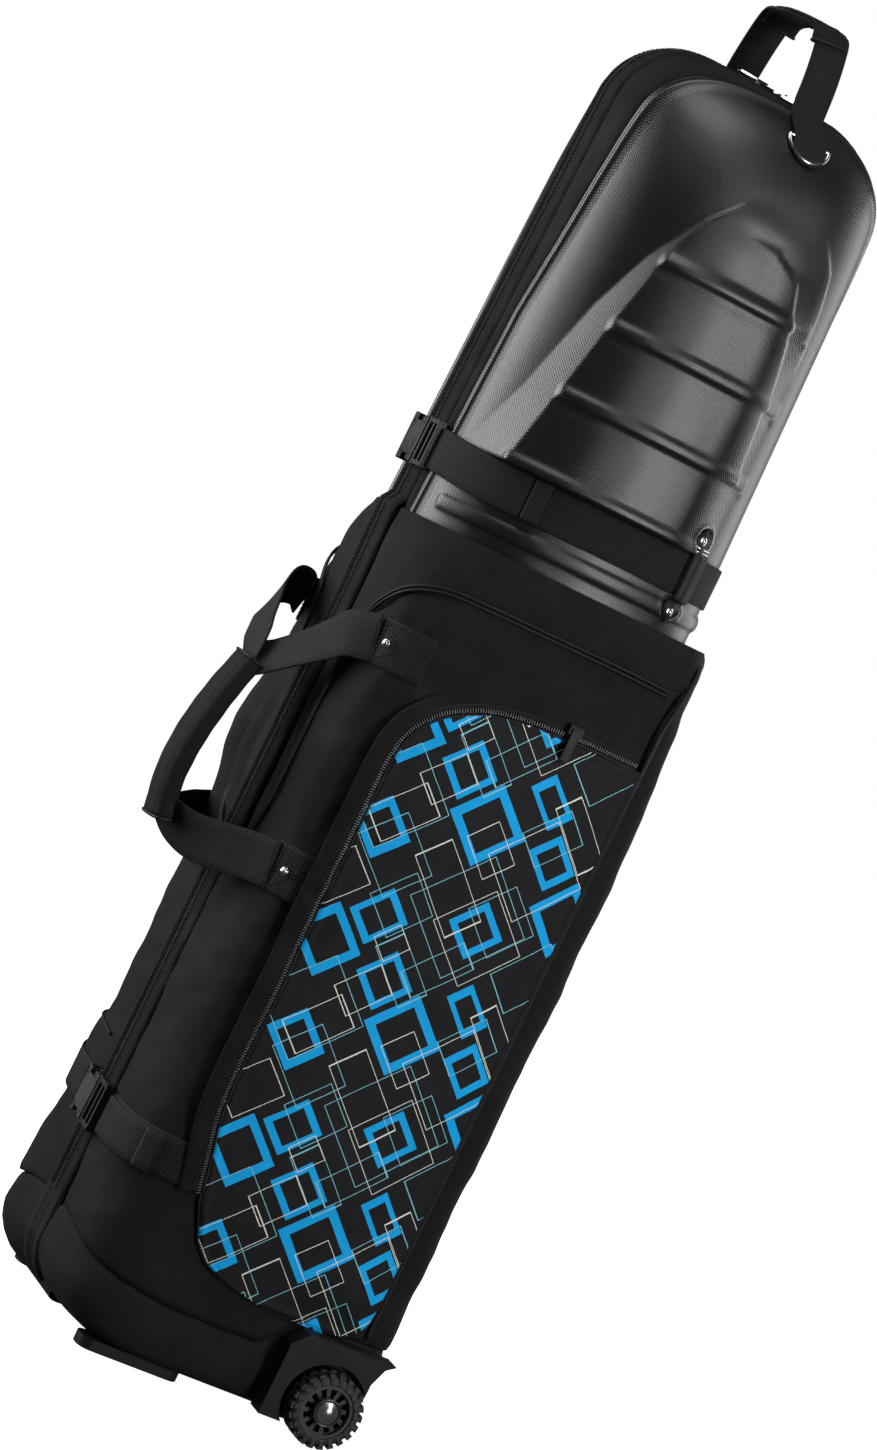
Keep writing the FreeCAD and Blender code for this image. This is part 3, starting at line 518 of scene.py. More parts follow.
def moulded_skin():
    """Satin laminate with a fine raised diamond grain."""
    shader = Shader("moulded_shell_finish", 0.27, specular=0.55, coat=0.1)
    u, v, _ = shader.split(shader.uv)
    right = shader.wave(shader.math("ADD", u, v), 0.0030)
    left = shader.wave(shader.math("SUBTRACT", u, v), 0.0030)
    grain = shader.math("MULTIPLY", right, left)
    cloud = shader.noise(shader.object, 5.0, 3.0)
    shader.colour(shader.mix(grain, (0.0035, 0.0035, 0.0040), (0.0130, 0.0132, 0.0140)))
    shader.roughness(shader.range(cloud, 0.3, 0.7, 0.25, 0.30))
    shader.relief([(shader.noise(shader.object, 60.0, 2.0), 0.00008), (grain, 0.00022)])
    return shader.material


def webbing_cloth():
    """Strap webbing: ribs across the strap over a fine lengthwise weave."""
    shader = Shader("webbing_finish", 0.72, specular=0.2)
    u, v, _ = shader.split(shader.uv)
    ribs = shader.wave(v, 0.0026)
    yarn = shader.wave(shader.math("ADD", u, shader.math("MULTIPLY", ribs, 0.0006)), 0.0018)
    cloud = shader.noise(shader.object, 40.0, 3.0)
    shader.colour(shader.mix(shader.math("MULTIPLY", ribs, cloud), (0.005, 0.005, 0.0055),
                             (0.020, 0.020, 0.021)))
    shader.relief([(shader.noise(shader.object, 35.0, 3.0), 0.0006), (ribs, 0.00032),
                   (yarn, 0.00012)])
    return shader.material


def plain_finish(name, dark, light, roughness, metallic=0.0, specular=0.5, grain=0.0001):
    """Plastic, rubber or metal with a faint uneven grain."""
    shader = Shader(name, roughness, metallic, specular)
    cloud = shader.noise(shader.object, 35.0, 4.0)
    fine = shader.noise(shader.object, 260.0, 3.0)
    shader.colour(shader.mix(cloud, dark, light))
    shader.roughness(shader.range(cloud, 0.3, 0.7, roughness * 0.85, roughness * 1.15))
    shader.relief([(cloud, grain * 1.5), (fine, grain)])
    return shader.material


def tape_cloth():
    """Zipper tape: a herringbone along the zipper."""
    shader = Shader("zipper_tape_finish", 0.75, specular=0.18)
    u, v, _ = shader.split(shader.uv)
    zigzag = shader.math("PINGPONG", u, 0.0022)
    weave = shader.wave(shader.math("ADD", v, zigzag), 0.0015)
    cords = shader.wave(u, 0.0030)
    cloud = shader.noise(shader.object, 60.0)
    shader.colour(shader.mix(shader.math("MULTIPLY", weave, cloud), (0.006, 0.006, 0.007),
                             (0.022, 0.022, 0.024)))
    shader.relief([(cords, 0.0003), (weave, 0.00014)])
    return shader.material


# frames of the print in metres: across, up and half sizes along the two diagonals; the thick
# ones also have a border share
PRINT_TILE = 0.200
PRINT_SLANT = 0.07
THICK_FRAMES = (
    (-0.033, 0.603, 0.0200, 0.0185, 0.30), (0.002, 0.565, 0.0270, 0.0255, 0.29),
    (0.052, 0.607, 0.0130, 0.0200, 0.34), (0.074, 0.558, 0.0165, 0.0190, 0.33),
    (0.030, 0.476, 0.0195, 0.0180, 0.31), (-0.089, 0.525, 0.0190, 0.0205, 0.33),
    (-0.061, 0.453, 0.0215, 0.0165, 0.30), (0.106, 0.515, 0.0250, 0.0240, 0.30),
    (-0.098, 0.416, 0.0230, 0.0240, 0.30),
)
WHITE_FRAMES = (
    (-0.048, 0.588, 0.0240, 0.0150), (0.014, 0.546, 0.0170, 0.0210), (0.034, 0.470, 0.0330, 0.0320),
    (0.090, 0.590, 0.0140, 0.0330), (-0.075, 0.545, 0.0300, 0.0160), (-0.040, 0.436, 0.0140, 0.0120),
    (-0.010, 0.500, 0.0190, 0.0400), (-0.110, 0.470, 0.0260, 0.0180), (0.062, 0.545, 0.0370, 0.0330),
)
CYAN_FRAMES = (
    (-0.022, 0.617, 0.0150, 0.0300), (0.050, 0.492, 0.0250, 0.0240), (0.066, 0.578, 0.0260, 0.0170),
    (-0.068, 0.508, 0.0250, 0.0300), (-0.045, 0.470, 0.0240, 0.0210), (0.096, 0.455, 0.0330, 0.0200),
    (0.010, 0.430, 0.0330, 0.0130), (0.018, 0.484, 0.0440, 0.0400), (-0.086, 0.556, 0.0380, 0.0340),
)


def printed_cloth():
    """Dark mesh weave printed with tilted square frames and thin loose outlines."""
    shader = Shader("printed_pocket_finish", 0.66, specular=0.2)
    u, v, _ = shader.split(shader.uv)
    drift = shader.math("MULTIPLY", shader.math("SUBTRACT", 0.603, v), PRINT_SLANT)
    joined = shader.tree.nodes.new("ShaderNodeCombineXYZ")
    shader.put(shader.math("SUBTRACT", u, drift), joined.inputs[0])
    shader.put(v, joined.inputs[1])
    half_tile = (1.0, PRINT_TILE / 2, 1.0)

    def square(across, up, long, short):
        """1 at a frame's outer edge, less inside it."""
        place = shader.vector("SUBTRACT", joined.outputs[0], (across, up, 0.0))
        place = shader.vector("WRAP", place, half_tile, tuple(-h for h in half_tile))
        turned = shader.tree.nodes.new("ShaderNodeMapping")
        turned.vector_type = "TEXTURE"
        turned.inputs["Rotation"].default_value = (0.0, 0.0, math.radians(45))
        turned.inputs["Scale"].default_value = (long, short, 1.0)
        shader.put(place, turned.inputs["Vector"])
        a, b, _ = shader.split(shader.vector("ABSOLUTE", turned.outputs[0]))
        return shader.math("MAXIMUM", a, b)

    def frame_mask(level, inner):
        return shader.math("MULTIPLY", shader.math("LESS_THAN", level, 1.0),
                           shader.math("GREATER_THAN", level, inner))

    def all_of(masks):
        total = masks[0]
        for mask in masks[1:]:
            total = shader.math("MAXIMUM", total, mask)
        return total

    blue = all_of([frame_mask(square(f[0], f[1], 1.05 * f[2], 1.05 * f[3]), 0.985 - f[4])
                   for f in THICK_FRAMES])
    thin = 0.00062
    white = all_of([frame_mask(square(*f), 1.0 - thin / min(f[2:])) for f in WHITE_FRAMES])
    cyan = all_of([frame_mask(square(*f), 1.0 - thin / min(f[2:])) for f in CYAN_FRAMES])
    dots = shader.math("MULTIPLY", shader.wave(shader.math("ADD", u, v), 0.0021),
                       shader.wave(shader.math("SUBTRACT", u, v), 0.0021))
    ground = shader.mix(dots, (0.0030, 0.0030, 0.0040), (0.0140, 0.0145, 0.0170))
    colour = shader.mix(blue, ground, (0.001, 0.370, 0.800))
    colour = shader.mix(cyan, colour, (0.230, 0.560, 0.660))
    colour = shader.mix(white, colour, (0.760, 0.770, 0.680))
    shader.colour(colour)
    shader.relief([(shader.noise(shader.object, 12.0, 4.0), 0.002), (dots, 0.00018)])
    return shader.material


FABRIC = woven_cloth("padded_fabric_finish", (0.0070, 0.0070, 0.0076), (0.0100, 0.0100, 0.0108))
CRINKLED = woven_cloth("gusset_cloth_finish", (0.0055, 0.0055, 0.006), (0.0095, 0.0095, 0.010),
                       fold=0.004)
SHELL = moulded_skin()
WEBBING = webbing_cloth()
TAPE = tape_cloth()
PRINT = printed_cloth()
PIPING = plain_finish("piping_finish", (0.007, 0.007, 0.008), (0.012, 0.012, 0.013), 0.6,
                      specular=0.22)
THREAD = plain_finish("thread_finish", (0.018, 0.018, 0.019), (0.030, 0.030, 0.031), 0.7,
                      specular=0.2, grain=0.0003)
TEETH = plain_finish("zipper_teeth_finish", (0.010, 0.010, 0.011), (0.022, 0.022, 0.024), 0.38)
BLACK = plain_finish("black_plastic_finish", (0.007, 0.007, 0.0075), (0.012, 0.012, 0.013), 0.42,
                     specular=0.35)
GREY = plain_finish("grey_plastic_finish", (0.024, 0.024, 0.025), (0.034, 0.034, 0.035), 0.38)
CHROME = plain_finish("chrome_finish", (0.36, 0.36, 0.37), (0.48, 0.48, 0.49), 0.20, 1.0,
                      grain=0.00002)
HOUSING = plain_finish("wheel_housing_finish", (0.0035, 0.0035, 0.004), (0.0065, 0.0065, 0.007),
                       0.55, specular=0.22)
RUBBER = plain_finish("wheel_rubber_finish", (0.007, 0.007, 0.007), (0.012, 0.012, 0.012), 0.6,
                      grain=0.0003)
WHEEL = plain_finish("wheel_plastic_finish", (0.012, 0.012, 0.013), (0.021, 0.021, 0.022), 0.36)
STEEL = plain_finish("axle_steel_finish", (0.42, 0.42, 0.43), (0.52, 0.52, 0.53), 0.32, 1.0,
                     grain=0.00003)
LINING = woven_cloth("lining_finish", (0.030, 0.030, 0.033), (0.046, 0.046, 0.050), pitch=0.002)

NODE_FINISH = {
    "black_plastic": BLACK, "grey_plastic": GREY, "chrome": CHROME, "wheel_rubber": RUBBER,
    "wheel_plastic": WHEEL, "axle_steel": STEEL, "foam_lining": LINING, "padded_fabric": FABRIC,
    "moulded_shell": SHELL, "webbing": WEBBING, "zipper_tape": TAPE, "piping": PIPING,
    "printed_fabric": PRINT,
}
for part in frame["record"]["subparts"]:
    node = frame["nodes"][part["node"]]
    node.data.materials.clear()
    node.data.materials.append(NODE_FINISH[part["material_slot"]])
for name in ("pocket_slider", "pocket_pull", "wheel_housing_near", "wheel_housing_far",
             "foot_near", "foot_far"):
    frame["nodes"][name].data.materials[0] = HOUSING


# ---------------------------------------------------------------- lines on the surfaces

RIM_Z = 783.0
SKIN_GROW = 1.6
BASE_SEAM_XYZ = ((8, -153, 91), (62, -153, 89), (114, -141, 78), (134, -112, 69), (140, -65, 63),
                 (140, -11, 61.5), (140, 26, 63), (140, 42, 78), (140, 58, 95), (140, 120, 96),
                 (120, 152, 96), (2, 152, 96))
PANEL_SEAM_XYZ = ((139, 118, 738), (140, 60, 739), (140, -60, 738), (134, -100, 737),
                  (125, -119, 735), (109, -140, 725), (91, -149, 709), (69, -152, 686),
                  (63, -153, 655), (61, -153, 600), (60, -153, 540), (59, -153, 500),
                  (51, -153, 472), (34, -153, 455), (17, -153, 447))
BASE_SEAM = [(barrel_s(x, y), z) for x, y, z in BASE_SEAM_XYZ]
PANEL_SEAM = [(place_on(fabric_section(z), x, y), z) for x, y, z in PANEL_SEAM_XYZ]
BACK_CORNER_S = barrel_s(139.5, 121.0)
FRONT_CORNER_S = barrel_s(120.0, -138.0)
UPPER_PATCH = (barrel_s(119, -130), 671.0)
LOWER_PATCH = (barrel_s(124, -131), 453.0)
NEAR_MIDDLE_S = barrel_s(140, 0)


def dome_height(x):
    """Height of the shell's crown at a distance from the zipper's plane."""
    return 1270.0 - 170.0 * (1.0 - (1.0 - (x / 134.0) ** 2.4) ** (1 / 2.4))


def shell_y(x, z, front):
    """The shell's y at a height and a distance from the zipper's plane."""
    half, front_reach, back_reach, front_pow, back_pow = shell_section(z)
    reach, power = (-front_reach, front_pow) if front else (back_reach, back_pow)
    share = max(0.0, 1.0 - (x / half) ** power) if half > x else 0.0
    return reach * share ** (1.0 / power)


def arch(x, low=RIM_Z + 8.0, back_low=RIM_Z + 8.0):
    """The shell's outline in a plane of constant x, from the front over to the back."""
    top = dome_height(x)
    t = (1.0 - np.linspace(0.0, 1.0, 220)) ** 2
    front = [(shell_y(x, top - (top - low) * k, True), top - (top - low) * k) for k in t]
    back = [(shell_y(x, top - (top - back_low) * k, False), top - (top - back_low) * k) for k in t]
    return np.array(front + back[::-1][1:])


def zipper_run(x, low, count):
    """A line beside the zipper at one x: up the fabric's front, then round the shell."""
    line, _ = outline(BARREL)
    middle = len(line) // 2
    points = []
    for z in np.arange(low, RIM_Z, 6.0):
        section = fabric_section(z)
        if z > 700.0:
            line, _ = outline(section)
        points.append((float(np.interp(x, line[:middle, 0], line[:middle, 1])) - SKIN_GROW, z))
    points.append((points[-1][0], RIM_Z + 2.0))
    path = resample(np.vstack([points, arch(x, RIM_Z + 12.0)]), 2.0)
    return resample_to(path, count), run_along(path)[-1]


def zipper_grid(xs, low, count):
    """Base points of a strip beside the zipper: rows along it, columns across it."""
    columns = []
    for x in xs:
        line, length = zipper_run(x, low, count)
        columns.append(np.column_stack([np.full(count, x), line]))
    points = np.stack(columns, 1)
    uvs = np.stack(np.broadcast_arrays(np.asarray(xs, float)[None, :],
                                       np.linspace(0, length, count)[:, None]), -1)
    return points, uvs


# ---------------------------------------------------------------- padded fabric body

def fabric_rows():
    """Heights of the skin's rows for every column, from the base seam to the rim."""
    level_z = 112.0
    rows = [lerp(BASE_SEAM_Z, level_z, k / 8.0) for k in range(8)]
    rows += [np.full(len(FABRIC_S), z) for z in np.arange(level_z, RIM_Z - 3.0, 4.5)]
    return np.array(rows + [np.full(len(FABRIC_S), RIM_Z)])


FRONT_EDGE, BACK_EDGE = 9.0, 0.3


def skin_span(section):
    """Arc lengths where a wall's cloth starts and ends on a section."""
    line, arc = outline(section)
    return arc_at_x(line, arc, FRONT_EDGE), arc_at_x(line, arc, BACK_EDGE, False)


FABRIC_S = np.linspace(*skin_span(BARREL), 190)
BASE_SEAM_Z = np.interp(FABRIC_S, *zip(*BASE_SEAM))


def fabric_base(rows):
    """Skin points before any relief; columns are even in arc length on every section."""
    points = np.zeros(rows.shape + (3,))
    shares = (FABRIC_S - FABRIC_S[0]) / (FABRIC_S[-1] - FABRIC_S[0])
    for r in range(rows.shape[0]):
        section = fabric_section(float(rows[r].max())) if rows[r].min() > 690.0 else BARREL
        start, finish = skin_span(section)
        x, y = on_section(section, start + shares * (finish - start), SKIN_GROW)
        points[r, :, 0], points[r, :, 1], points[r, :, 2] = x, y, rows[r]
    return points


def back_taper(s, z):
    """The back corner rounds off below the rim, and the rim itself flares."""
    corner = np.exp(-((s - BACK_CORNER_S - 22.0) / 34.0) ** 2)
    return corner * (4.5 * smooth((z - 766.0) / 12.0)
                     - 8.0 * smooth((z - 590.0) / 120.0) * (1.0 - smooth((z - 725.0) / 50.0)))


def seam_puff(seam):
    """Padding that sinks into the panel seam at the given distance from it."""
    return 2.6 * (1.0 - np.exp(-seam / 28.0)) - 2.4 - 2.0 * bump(seam, 2.2)


def wall_edges(s, z):
    """What both walls do at the base seam, beside the zipper, at the back corner and the rim."""
    return (back_taper(s, z) - 1.4 * bump(distance_to_line(s, z, BASE_SEAM), 3.5)
            - 1.2 * bump(s - 24.0, 2.0) - 1.5 * smooth((z - 760.0) / 23.0))


def near_relief(s, z):
    """How far the near wall's cloth stands off the barrel."""
    seam = distance_to_line(s, z, PANEL_SEAM)
    d = waves(s, z, 3, 10, 70.0, 190.0) + 0.35 * waves(s, z, 4, 10, 22.0, 50.0) + seam_puff(seam)
    inner = (s < np.interp(z, [447, 455, 472, 500, 655, 686, 709, 725, 735],
                           [17, 34, 51, 60, 64, 71, 95, 118, 150])) & (z > 447)
    d = np.where(inner, d * 0.5 - 1.6 * smooth(seam / 5.0), d)
    past_corner = s - BACK_CORNER_S
    d -= 1.6 * bump(past_corner - 4.5, 2.5) + 1.2 * bump(past_corner + 4.5, 2.5)
    d += 1.5 * smooth(past_corner / 14.0) * smooth((FABRIC_S[-1] - s) / 25.0)
    for (ps, pz), reach in ((UPPER_PATCH, 55.0), (LOWER_PATCH, 50.0)):
        r = np.hypot(s - ps, z - pz)
        turn = np.arctan2(z - pz, s - ps)
        d += 1.1 * np.sin(turn * 7.0 + 0.6) * np.exp(-((r - 38.0) / 26.0) ** 2) * (r < reach + 60.0)
    d += 1.2 * smooth((150.0 - z) / 60.0) * np.sin(s / 26.0 + z / 34.0)
    return d + wall_edges(s, z)


def far_side(s):
    """1 over the far wall's flat side, 0 near the zipper and the back seam."""
    return smooth((s - 30.0) / 60.0) * (1.0 - smooth((s - 230.0) / 60.0))


def far_relief(s, z):
    """How far the far wall's cloth stands off the barrel: a bulge with two folds, and a fuller foot."""
    d = 1.1 * waves(s, z, 23, 10, 70.0, 190.0) + 0.4 * waves(s, z, 24, 10, 22.0, 50.0)
    d += seam_puff(distance_to_line(s, z, PANEL_SEAM))
    front = 1.0 - smooth((s - 95.0) / 50.0)
    fold = s - 40.0 - 0.10 * (z - 560.0)
    d += 15.0 * bump(s - 82.0, 42.0) * bump(z - 545.0, 72.0)
    d -= 4.0 * front * bump(fold, 8.0) * bump(z - 530.0, 60.0)
    d -= 3.0 * front * bump(fold - 26.0, 8.0) * bump(z - 570.0, 55.0)
    d += 4.6 * smooth((252.0 - z) / 16.0) * far_side(s)
    d += 5.5 * bump(s - FRONT_CORNER_S, 42.0) * smooth((172.0 - z) / 40.0)
    return d + wall_edges(s, z)


def fabric_skin(name, relief, body, mirror, replaces):
    """A padded side wall with its hem under the rim, foam and lining."""
    rows = fabric_rows()
    base = fabric_base(rows)
    s = np.broadcast_to(FABRIC_S, rows.shape)
    normals = grid_normals(base)
    points = base + normals * relief(s, rows)[..., None]
    hem = []
    for drop, inset in ((1.6, 0.9), (2.2, 2.6), (1.2, 4.2), (-6.0, 4.6)):
        row = points[-1] - normals[-1] * inset
        row[:, 2] = RIM_Z + drop
        hem.append(row)
    points = np.concatenate([points, np.array(hem)])
    uvs = np.stack([np.concatenate([s, s[-4:]]),
                    np.concatenate([rows, rows[-1] + np.array([[2.], [4.], [6.], [14.]])])], -1)
    skin = grid_object(name, points, uvs, body, FABRIC, mirror=mirror, slot="padded_fabric",
                       replaces=replaces)
    thicken(skin, 2.0, LINING)
    return skin


fabric_skin("near_padded_wall", near_relief, NEAR, False, ["near_side_panel"])
fabric_skin("far_padded_wall", far_relief, ROOT, True, ["far_side_panel"])


BOOT_BOTTOM = 10.0
TOE_Z = (BOOT_BOTTOM, 14.0, 19.0, 28.0, 38.0, 52.0)
TOE_Y = (-116.0, -126.0, -135.0, -144.5, -150.5, -154.6)


def boot_half(name, mirror, replaces):
    """The padded base below the seam, with its raised toe."""
    shares = np.concatenate([np.linspace(0.0, 0.9, 14), np.linspace(0.93, 1.0, 4)])
    s_all = np.concatenate([[0.0], FABRIC_S])
    low = np.concatenate([BASE_SEAM_Z[:1], BASE_SEAM_Z])
    rows = []
    for share in shares:
        z = lerp(BOOT_BOTTOM, low - 1.5, share)
        x, y = on_section(BARREL, s_all, SKIN_GROW)
        curl = 1.0 - np.clip((z - BOOT_BOTTOM) / 14.0, 0, 1)
        round_in = 9.0 * (1.0 - np.sqrt(1.0 - curl ** 2))
        toe = np.interp(z, TOE_Z, TOE_Y)
        squeeze = np.where(y < 0, np.minimum(1.0, toe / TOE_Y[-1]), 1.0)
        px = x * (1.0 - round_in / 150.0)
        py = y * squeeze * (1.0 - np.where(y > 0, round_in / 150.0, 0.0))
        rows.append(np.stack([px, py, z], -1))
    points = np.array(rows)
    s = np.broadcast_to(s_all, points.shape[:2])
    push = 0.9 * waves(s, points[..., 2], 31, 10, 50.0, 120.0) * smooth(shares / 0.3)[:, None]
    push += 1.8 * bump((shares - 0.55)[:, None], 0.3) - 0.4
    if mirror:
        push += 5.0 * far_side(s)
        push += 5.5 * bump(s - FRONT_CORNER_S, 42.0)
    push -= 1.3 * bump((shares - 1.0)[:, None] * 60.0, 3.5)
    normals = grid_normals(points)
    points = points + normals * push[..., None]
    tuck = []
    for rise, inset in ((1.0, 1.6), (10.0, 2.6)):
        row = points[-1] - normals[-1] * inset
        row[:, 2] += rise
        tuck.append(row)
    points = np.concatenate([points, np.array(tuck)])
    floor_row = points[0].copy()
    floor_row[:, 0] = 0.0
    points = np.concatenate([floor_row[None], points])
    uvs = np.stack([np.broadcast_to(s_all, points.shape[:2]), points[..., 2]], -1)
    boot = grid_object(name, points, uvs, ROOT, FABRIC, mirror=mirror, slot="padded_fabric",
                       replaces=replaces)
    return boot


boot_half("base_boot_near", False, ["base_tub"])
boot_half("base_boot_far", True, [])


# ---------------------------------------------------------------- moulded shell

def shell_line(places):
    """Heights and arc places (from the middle of the near side) of (x, y, z) points."""
    places = sorted(places, key=lambda p: p[2])
    return [p[2] for p in places], [shell_s(*p) for p in places]


OUTER_Z, OUTER_S = shell_line([(50, -139, 838), (56, -137, 860), (81, -120, 930), (100, -100, 1021),
                               (113, -80, 1079), (126, -51, 1130), (128, -26, 1160), (126, 4, 1175)])
INNER_Z, INNER_S = shell_line([(96, -107, 838), (98, -104, 870), (107, -92, 940), (115, -79, 1014),
                               (122, -62, 1097), (126, -48, 1130), (128, -22, 1160), (126, 8, 1175)])
SLOT_Z, SLOT_S = shell_line([(119, 88, 900), (120, 85, 945), (123, 77, 997), (123, 77, 1018),
                             (127, 66, 1067), (128, 61, 1088), (130, 51, 1116), (133, 22, 1131)])
RIGHT_Z, RIGHT_S = shell_line([(112, 98, 1040), (113, 96, 1074), (115, 92, 1107), (118, 83, 1140),
                               (121, 63, 1168)])
RIBS = ((1078.0, shell_s(123, -62, 1078), shell_s(114, 95, 1078)),
        (1005.0, shell_s(117, -75, 1005), shell_s(110, 104, 1005)),
        (933.0, shell_s(110, -88, 933), shell_s(108, 108, 933)),
        (861.0, shell_s(99, -104, 861), shell_s(116, 94, 861)))
BEAD_LEFT = shell_s(61, -135, 811)
BEAD_RIGHT = shell_s(60, 140, 805)
KEEPER_S = shell_s(121, 84, 840)


def facet_turns():
    """How far the bare shell turns between the ramp's two edges, by height."""
    heights = np.linspace(840.0, 1175.0, 12)
    turns = []
    for z in heights:
        section = shell_section(z)
        middle = place_on(section, section[0], 0.0)
        ends = np.array([np.interp(z, OUTER_Z, OUTER_S), np.interp(z, INNER_Z, INNER_S)]) + middle
        x, y = on_section(section, ends)
        x1, y1 = on_section(section, ends, 1.0)
        angle = np.arctan2(y1 - y, x1 - x)
        turns.append(float(angle[1] - angle[0]))
    return heights, turns


FACET_Z, FACET_TURN = facet_turns()


def emboss(s, z):
    """Height of the shell's moulded relief."""
    outer = np.interp(z, OUTER_Z, OUTER_S)
    inner = np.interp(z, INNER_Z, INNER_S)
    gap = np.maximum(inner - outer, 1.5)
    above = smooth((z - 858.0) / 4.0)
    height = gap * above * np.interp(z, [860, 950, 1014, 1100, 1160], [0.24, 0.36, 0.46, 0.60, 0.62])
    ramp = np.clip((s - outer) / gap, 0.0, 1.0)
    right_end = np.interp(z, RIGHT_Z, RIGHT_S)
    fade = 1.0 - smooth((s - (right_end - 60.0)) / 62.0)
    flat = 0.5 * gap * above * np.interp(z, FACET_Z, FACET_TURN) * ramp * (1.0 - ramp)
    d = (height * ramp * fade - flat) * (1.0 - smooth((z - 1140.0) / 30.0))
    top = smooth((z - 1085.0) / 60.0) * (1.0 - smooth((z - 1128.0) / 52.0))
    d += 1.7 * top * smooth((s - outer) / 5.0) * (1.0 - smooth((s - right_end) / 4.0))
    d += 1.5 * smooth((z - 1030.0) / 50.0) * (1.0 - smooth((z - 1132.0) / 40.0)) * (
        smooth((s - right_end + 26.0) / 22.0) - smooth((s - right_end) / 4.0))
    slot = np.interp(z, SLOT_Z, SLOT_S)
    reach = smooth((z - 928.0) / 12.0) * (1.0 - smooth((z - 1128.0) / 10.0))
    d += 3.0 * reach * (smooth((s - slot + 55.0) / 55.0) - smooth((s - slot + 1.0) / 6.0))
    for rib_z, left, right in RIBS:
        v = z - rib_z
        ends = np.sqrt(np.clip(smooth((s - left + 9.0) / 9.0), 0, 1)) * np.sqrt(
            np.clip(smooth((right - s) / 9.0), 0, 1))
        d += 3.6 * ends * smooth((v + 4.0) / 4.5) * (1.0 - smooth((v - 4.5) / 9.0))
        d -= 0.9 * ends * bump(v + 7.5, 4.0)
    v = z - 805.0
    ends = np.sqrt(np.clip(smooth((s - BEAD_LEFT + 6.0) / 9.0), 0, 1)) * (
        1.0 - smooth((s - BEAD_RIGHT) / 9.0))
    d += 3.4 * ends * np.sqrt(np.clip(1.0 - (v / 7.5) ** 2, 0.0, 1.0))
    for hole_z in (875.0, 809.0):
        r = np.hypot(s - KEEPER_S, z - hole_z)
        inside = 1.0 - smooth((r - 8.5) / 4.5)
        d = d * (1.0 - inside) - 2.6 * inside + 1.0 * bump(r - 14.0, 2.2)
    return d


def shell_skin(name, body, mirror, replaces):
    """One half of the moulded shell with its relief and lining."""
    heights = list(np.arange(752.0, 1100.0, 2.2))
    for turn in np.linspace(0.0, math.radians(89.3), 88):
        heights.append(1100.0 + 170.0 * math.sin(turn) ** (2 / 2.4))
    columns = 236
    points = np.zeros((len(heights), columns, 3))
    s = np.zeros((len(heights), columns))
    for r, z in enumerate(heights):
        section = shell_section(z)
        line, arc = outline(section)
        start_x = min(8.0, 0.98 * section[0])
        start = arc_at_x(line, arc, start_x)
        finish = arc_at_x(line, arc, start_x, False)
        places = np.linspace(start, finish, columns)
        points[r, :, 0] = np.interp(places, arc, line[:, 0])
        points[r, :, 1] = np.interp(places, arc, line[:, 1])
        points[r, :, 2] = z
        s[r] = places - arc[len(arc) // 2]
    z = points[..., 2]
    points = points + grid_normals(points) * emboss(s, z)[..., None]
    middle = points[:, columns // 2]
    uvs = np.stack([s, np.broadcast_to(run_along(middle)[:, None], s.shape)], -1)
    skin = grid_object(name, points, uvs, body, SHELL, mirror=mirror, slot="moulded_shell",
                       replaces=replaces)
    thicken(skin, 2.6, LINING)
    return skin


shell_skin("near_moulded_shell", NEAR, False, ["near_shell"])
shell_skin("far_moulded_shell", ROOT, True, ["far_shell"])


# ---------------------------------------------------------------- zipper, its edging and beads

def offset_grid(base, heights):
    """Grid points raised by the heights."""
    return base + grid_normals(base) * np.asarray(heights, float)[..., None]


ZIPPER_FOOT = 97.0
TOOTH_PITCH = 2.4


def zipper_side(side, mirror, body):
    """Tape, crinkled edging, teeth and stitches on one side of the main zipper."""
    count = 900
    tape_xs = (0.1, 2.0, 3.4, 4.0, 6.0, 8.2, 8.8, 10.5)
    base, uvs = zipper_grid(tape_xs, ZIPPER_FOOT, count)
    heights = np.broadcast_to(np.array([2.2, 2.3, 2.2, 1.6, 1.6, 1.6, 1.2, 0.9]), base.shape[:2])
    tape = grid_object("zipper_tape_" + side, offset_grid(base, heights), uvs, body, TAPE,
                       mirror=mirror, slot="zipper_tape", replaces=["zipper_tape_" + side])
    thicken(tape, 1.0)

    edge_xs = (9.6, 10.6, 12.0, 14.5, 17.5, 20.0, 22.0, 23.4, 24.4)
    base, uvs = zipper_grid(edge_xs, ZIPPER_FOOT, count)
    crest = np.array([1.0, 2.2, 3.3, 3.9, 3.7, 3.0, 2.2, 1.4, -0.6])
    ripple = 0.22 * waves(uvs[..., 0] * 3, uvs[..., 1], 51, 9, 10.0, 34.0)
    grid_object("zipper_edging_" + side, offset_grid(base, crest + ripple), uvs, body, CRINKLED,
                mirror=mirror, slot="padded_fabric")

    teeth = Parts()
    run, _ = zipper_run(1.7, ZIPPER_FOOT, 2 * count)
    line = resample(run, TOOTH_PITCH)
    shift = 0.5 if side == "near" else -0.5
    for (y, z), (ty, tz) in zip(line, directions(line)):
        turn = np.array([(1, 0, 0), (0, ty, -tz), (0, tz, ty)])
        out = np.array([0.0, -tz, ty])
        centre = np.array([1.5, y, z]) + out * 3.0 + np.array([0.0, ty, tz]) * shift
        teeth.box(centre, (2.9, 1.15, 1.5), turn)
    soften(teeth.build("zipper_teeth_" + side, body, TEETH, mirror=mirror, slot="zipper_tape",
                       smooth_shade=False), 0.3, 1)

    stitch = Parts()
    for x, lift in ((6.8, 1.9), (12.6, 3.9)):
        run, _ = zipper_run(x, ZIPPER_FOOT, 2 * count)
        stitch_row(stitch, np.column_stack([np.full(len(run), x), run]), lift)
    stitch.build("zipper_stitches_" + side, body, THREAD, mirror=mirror, slot="zipper_tape")


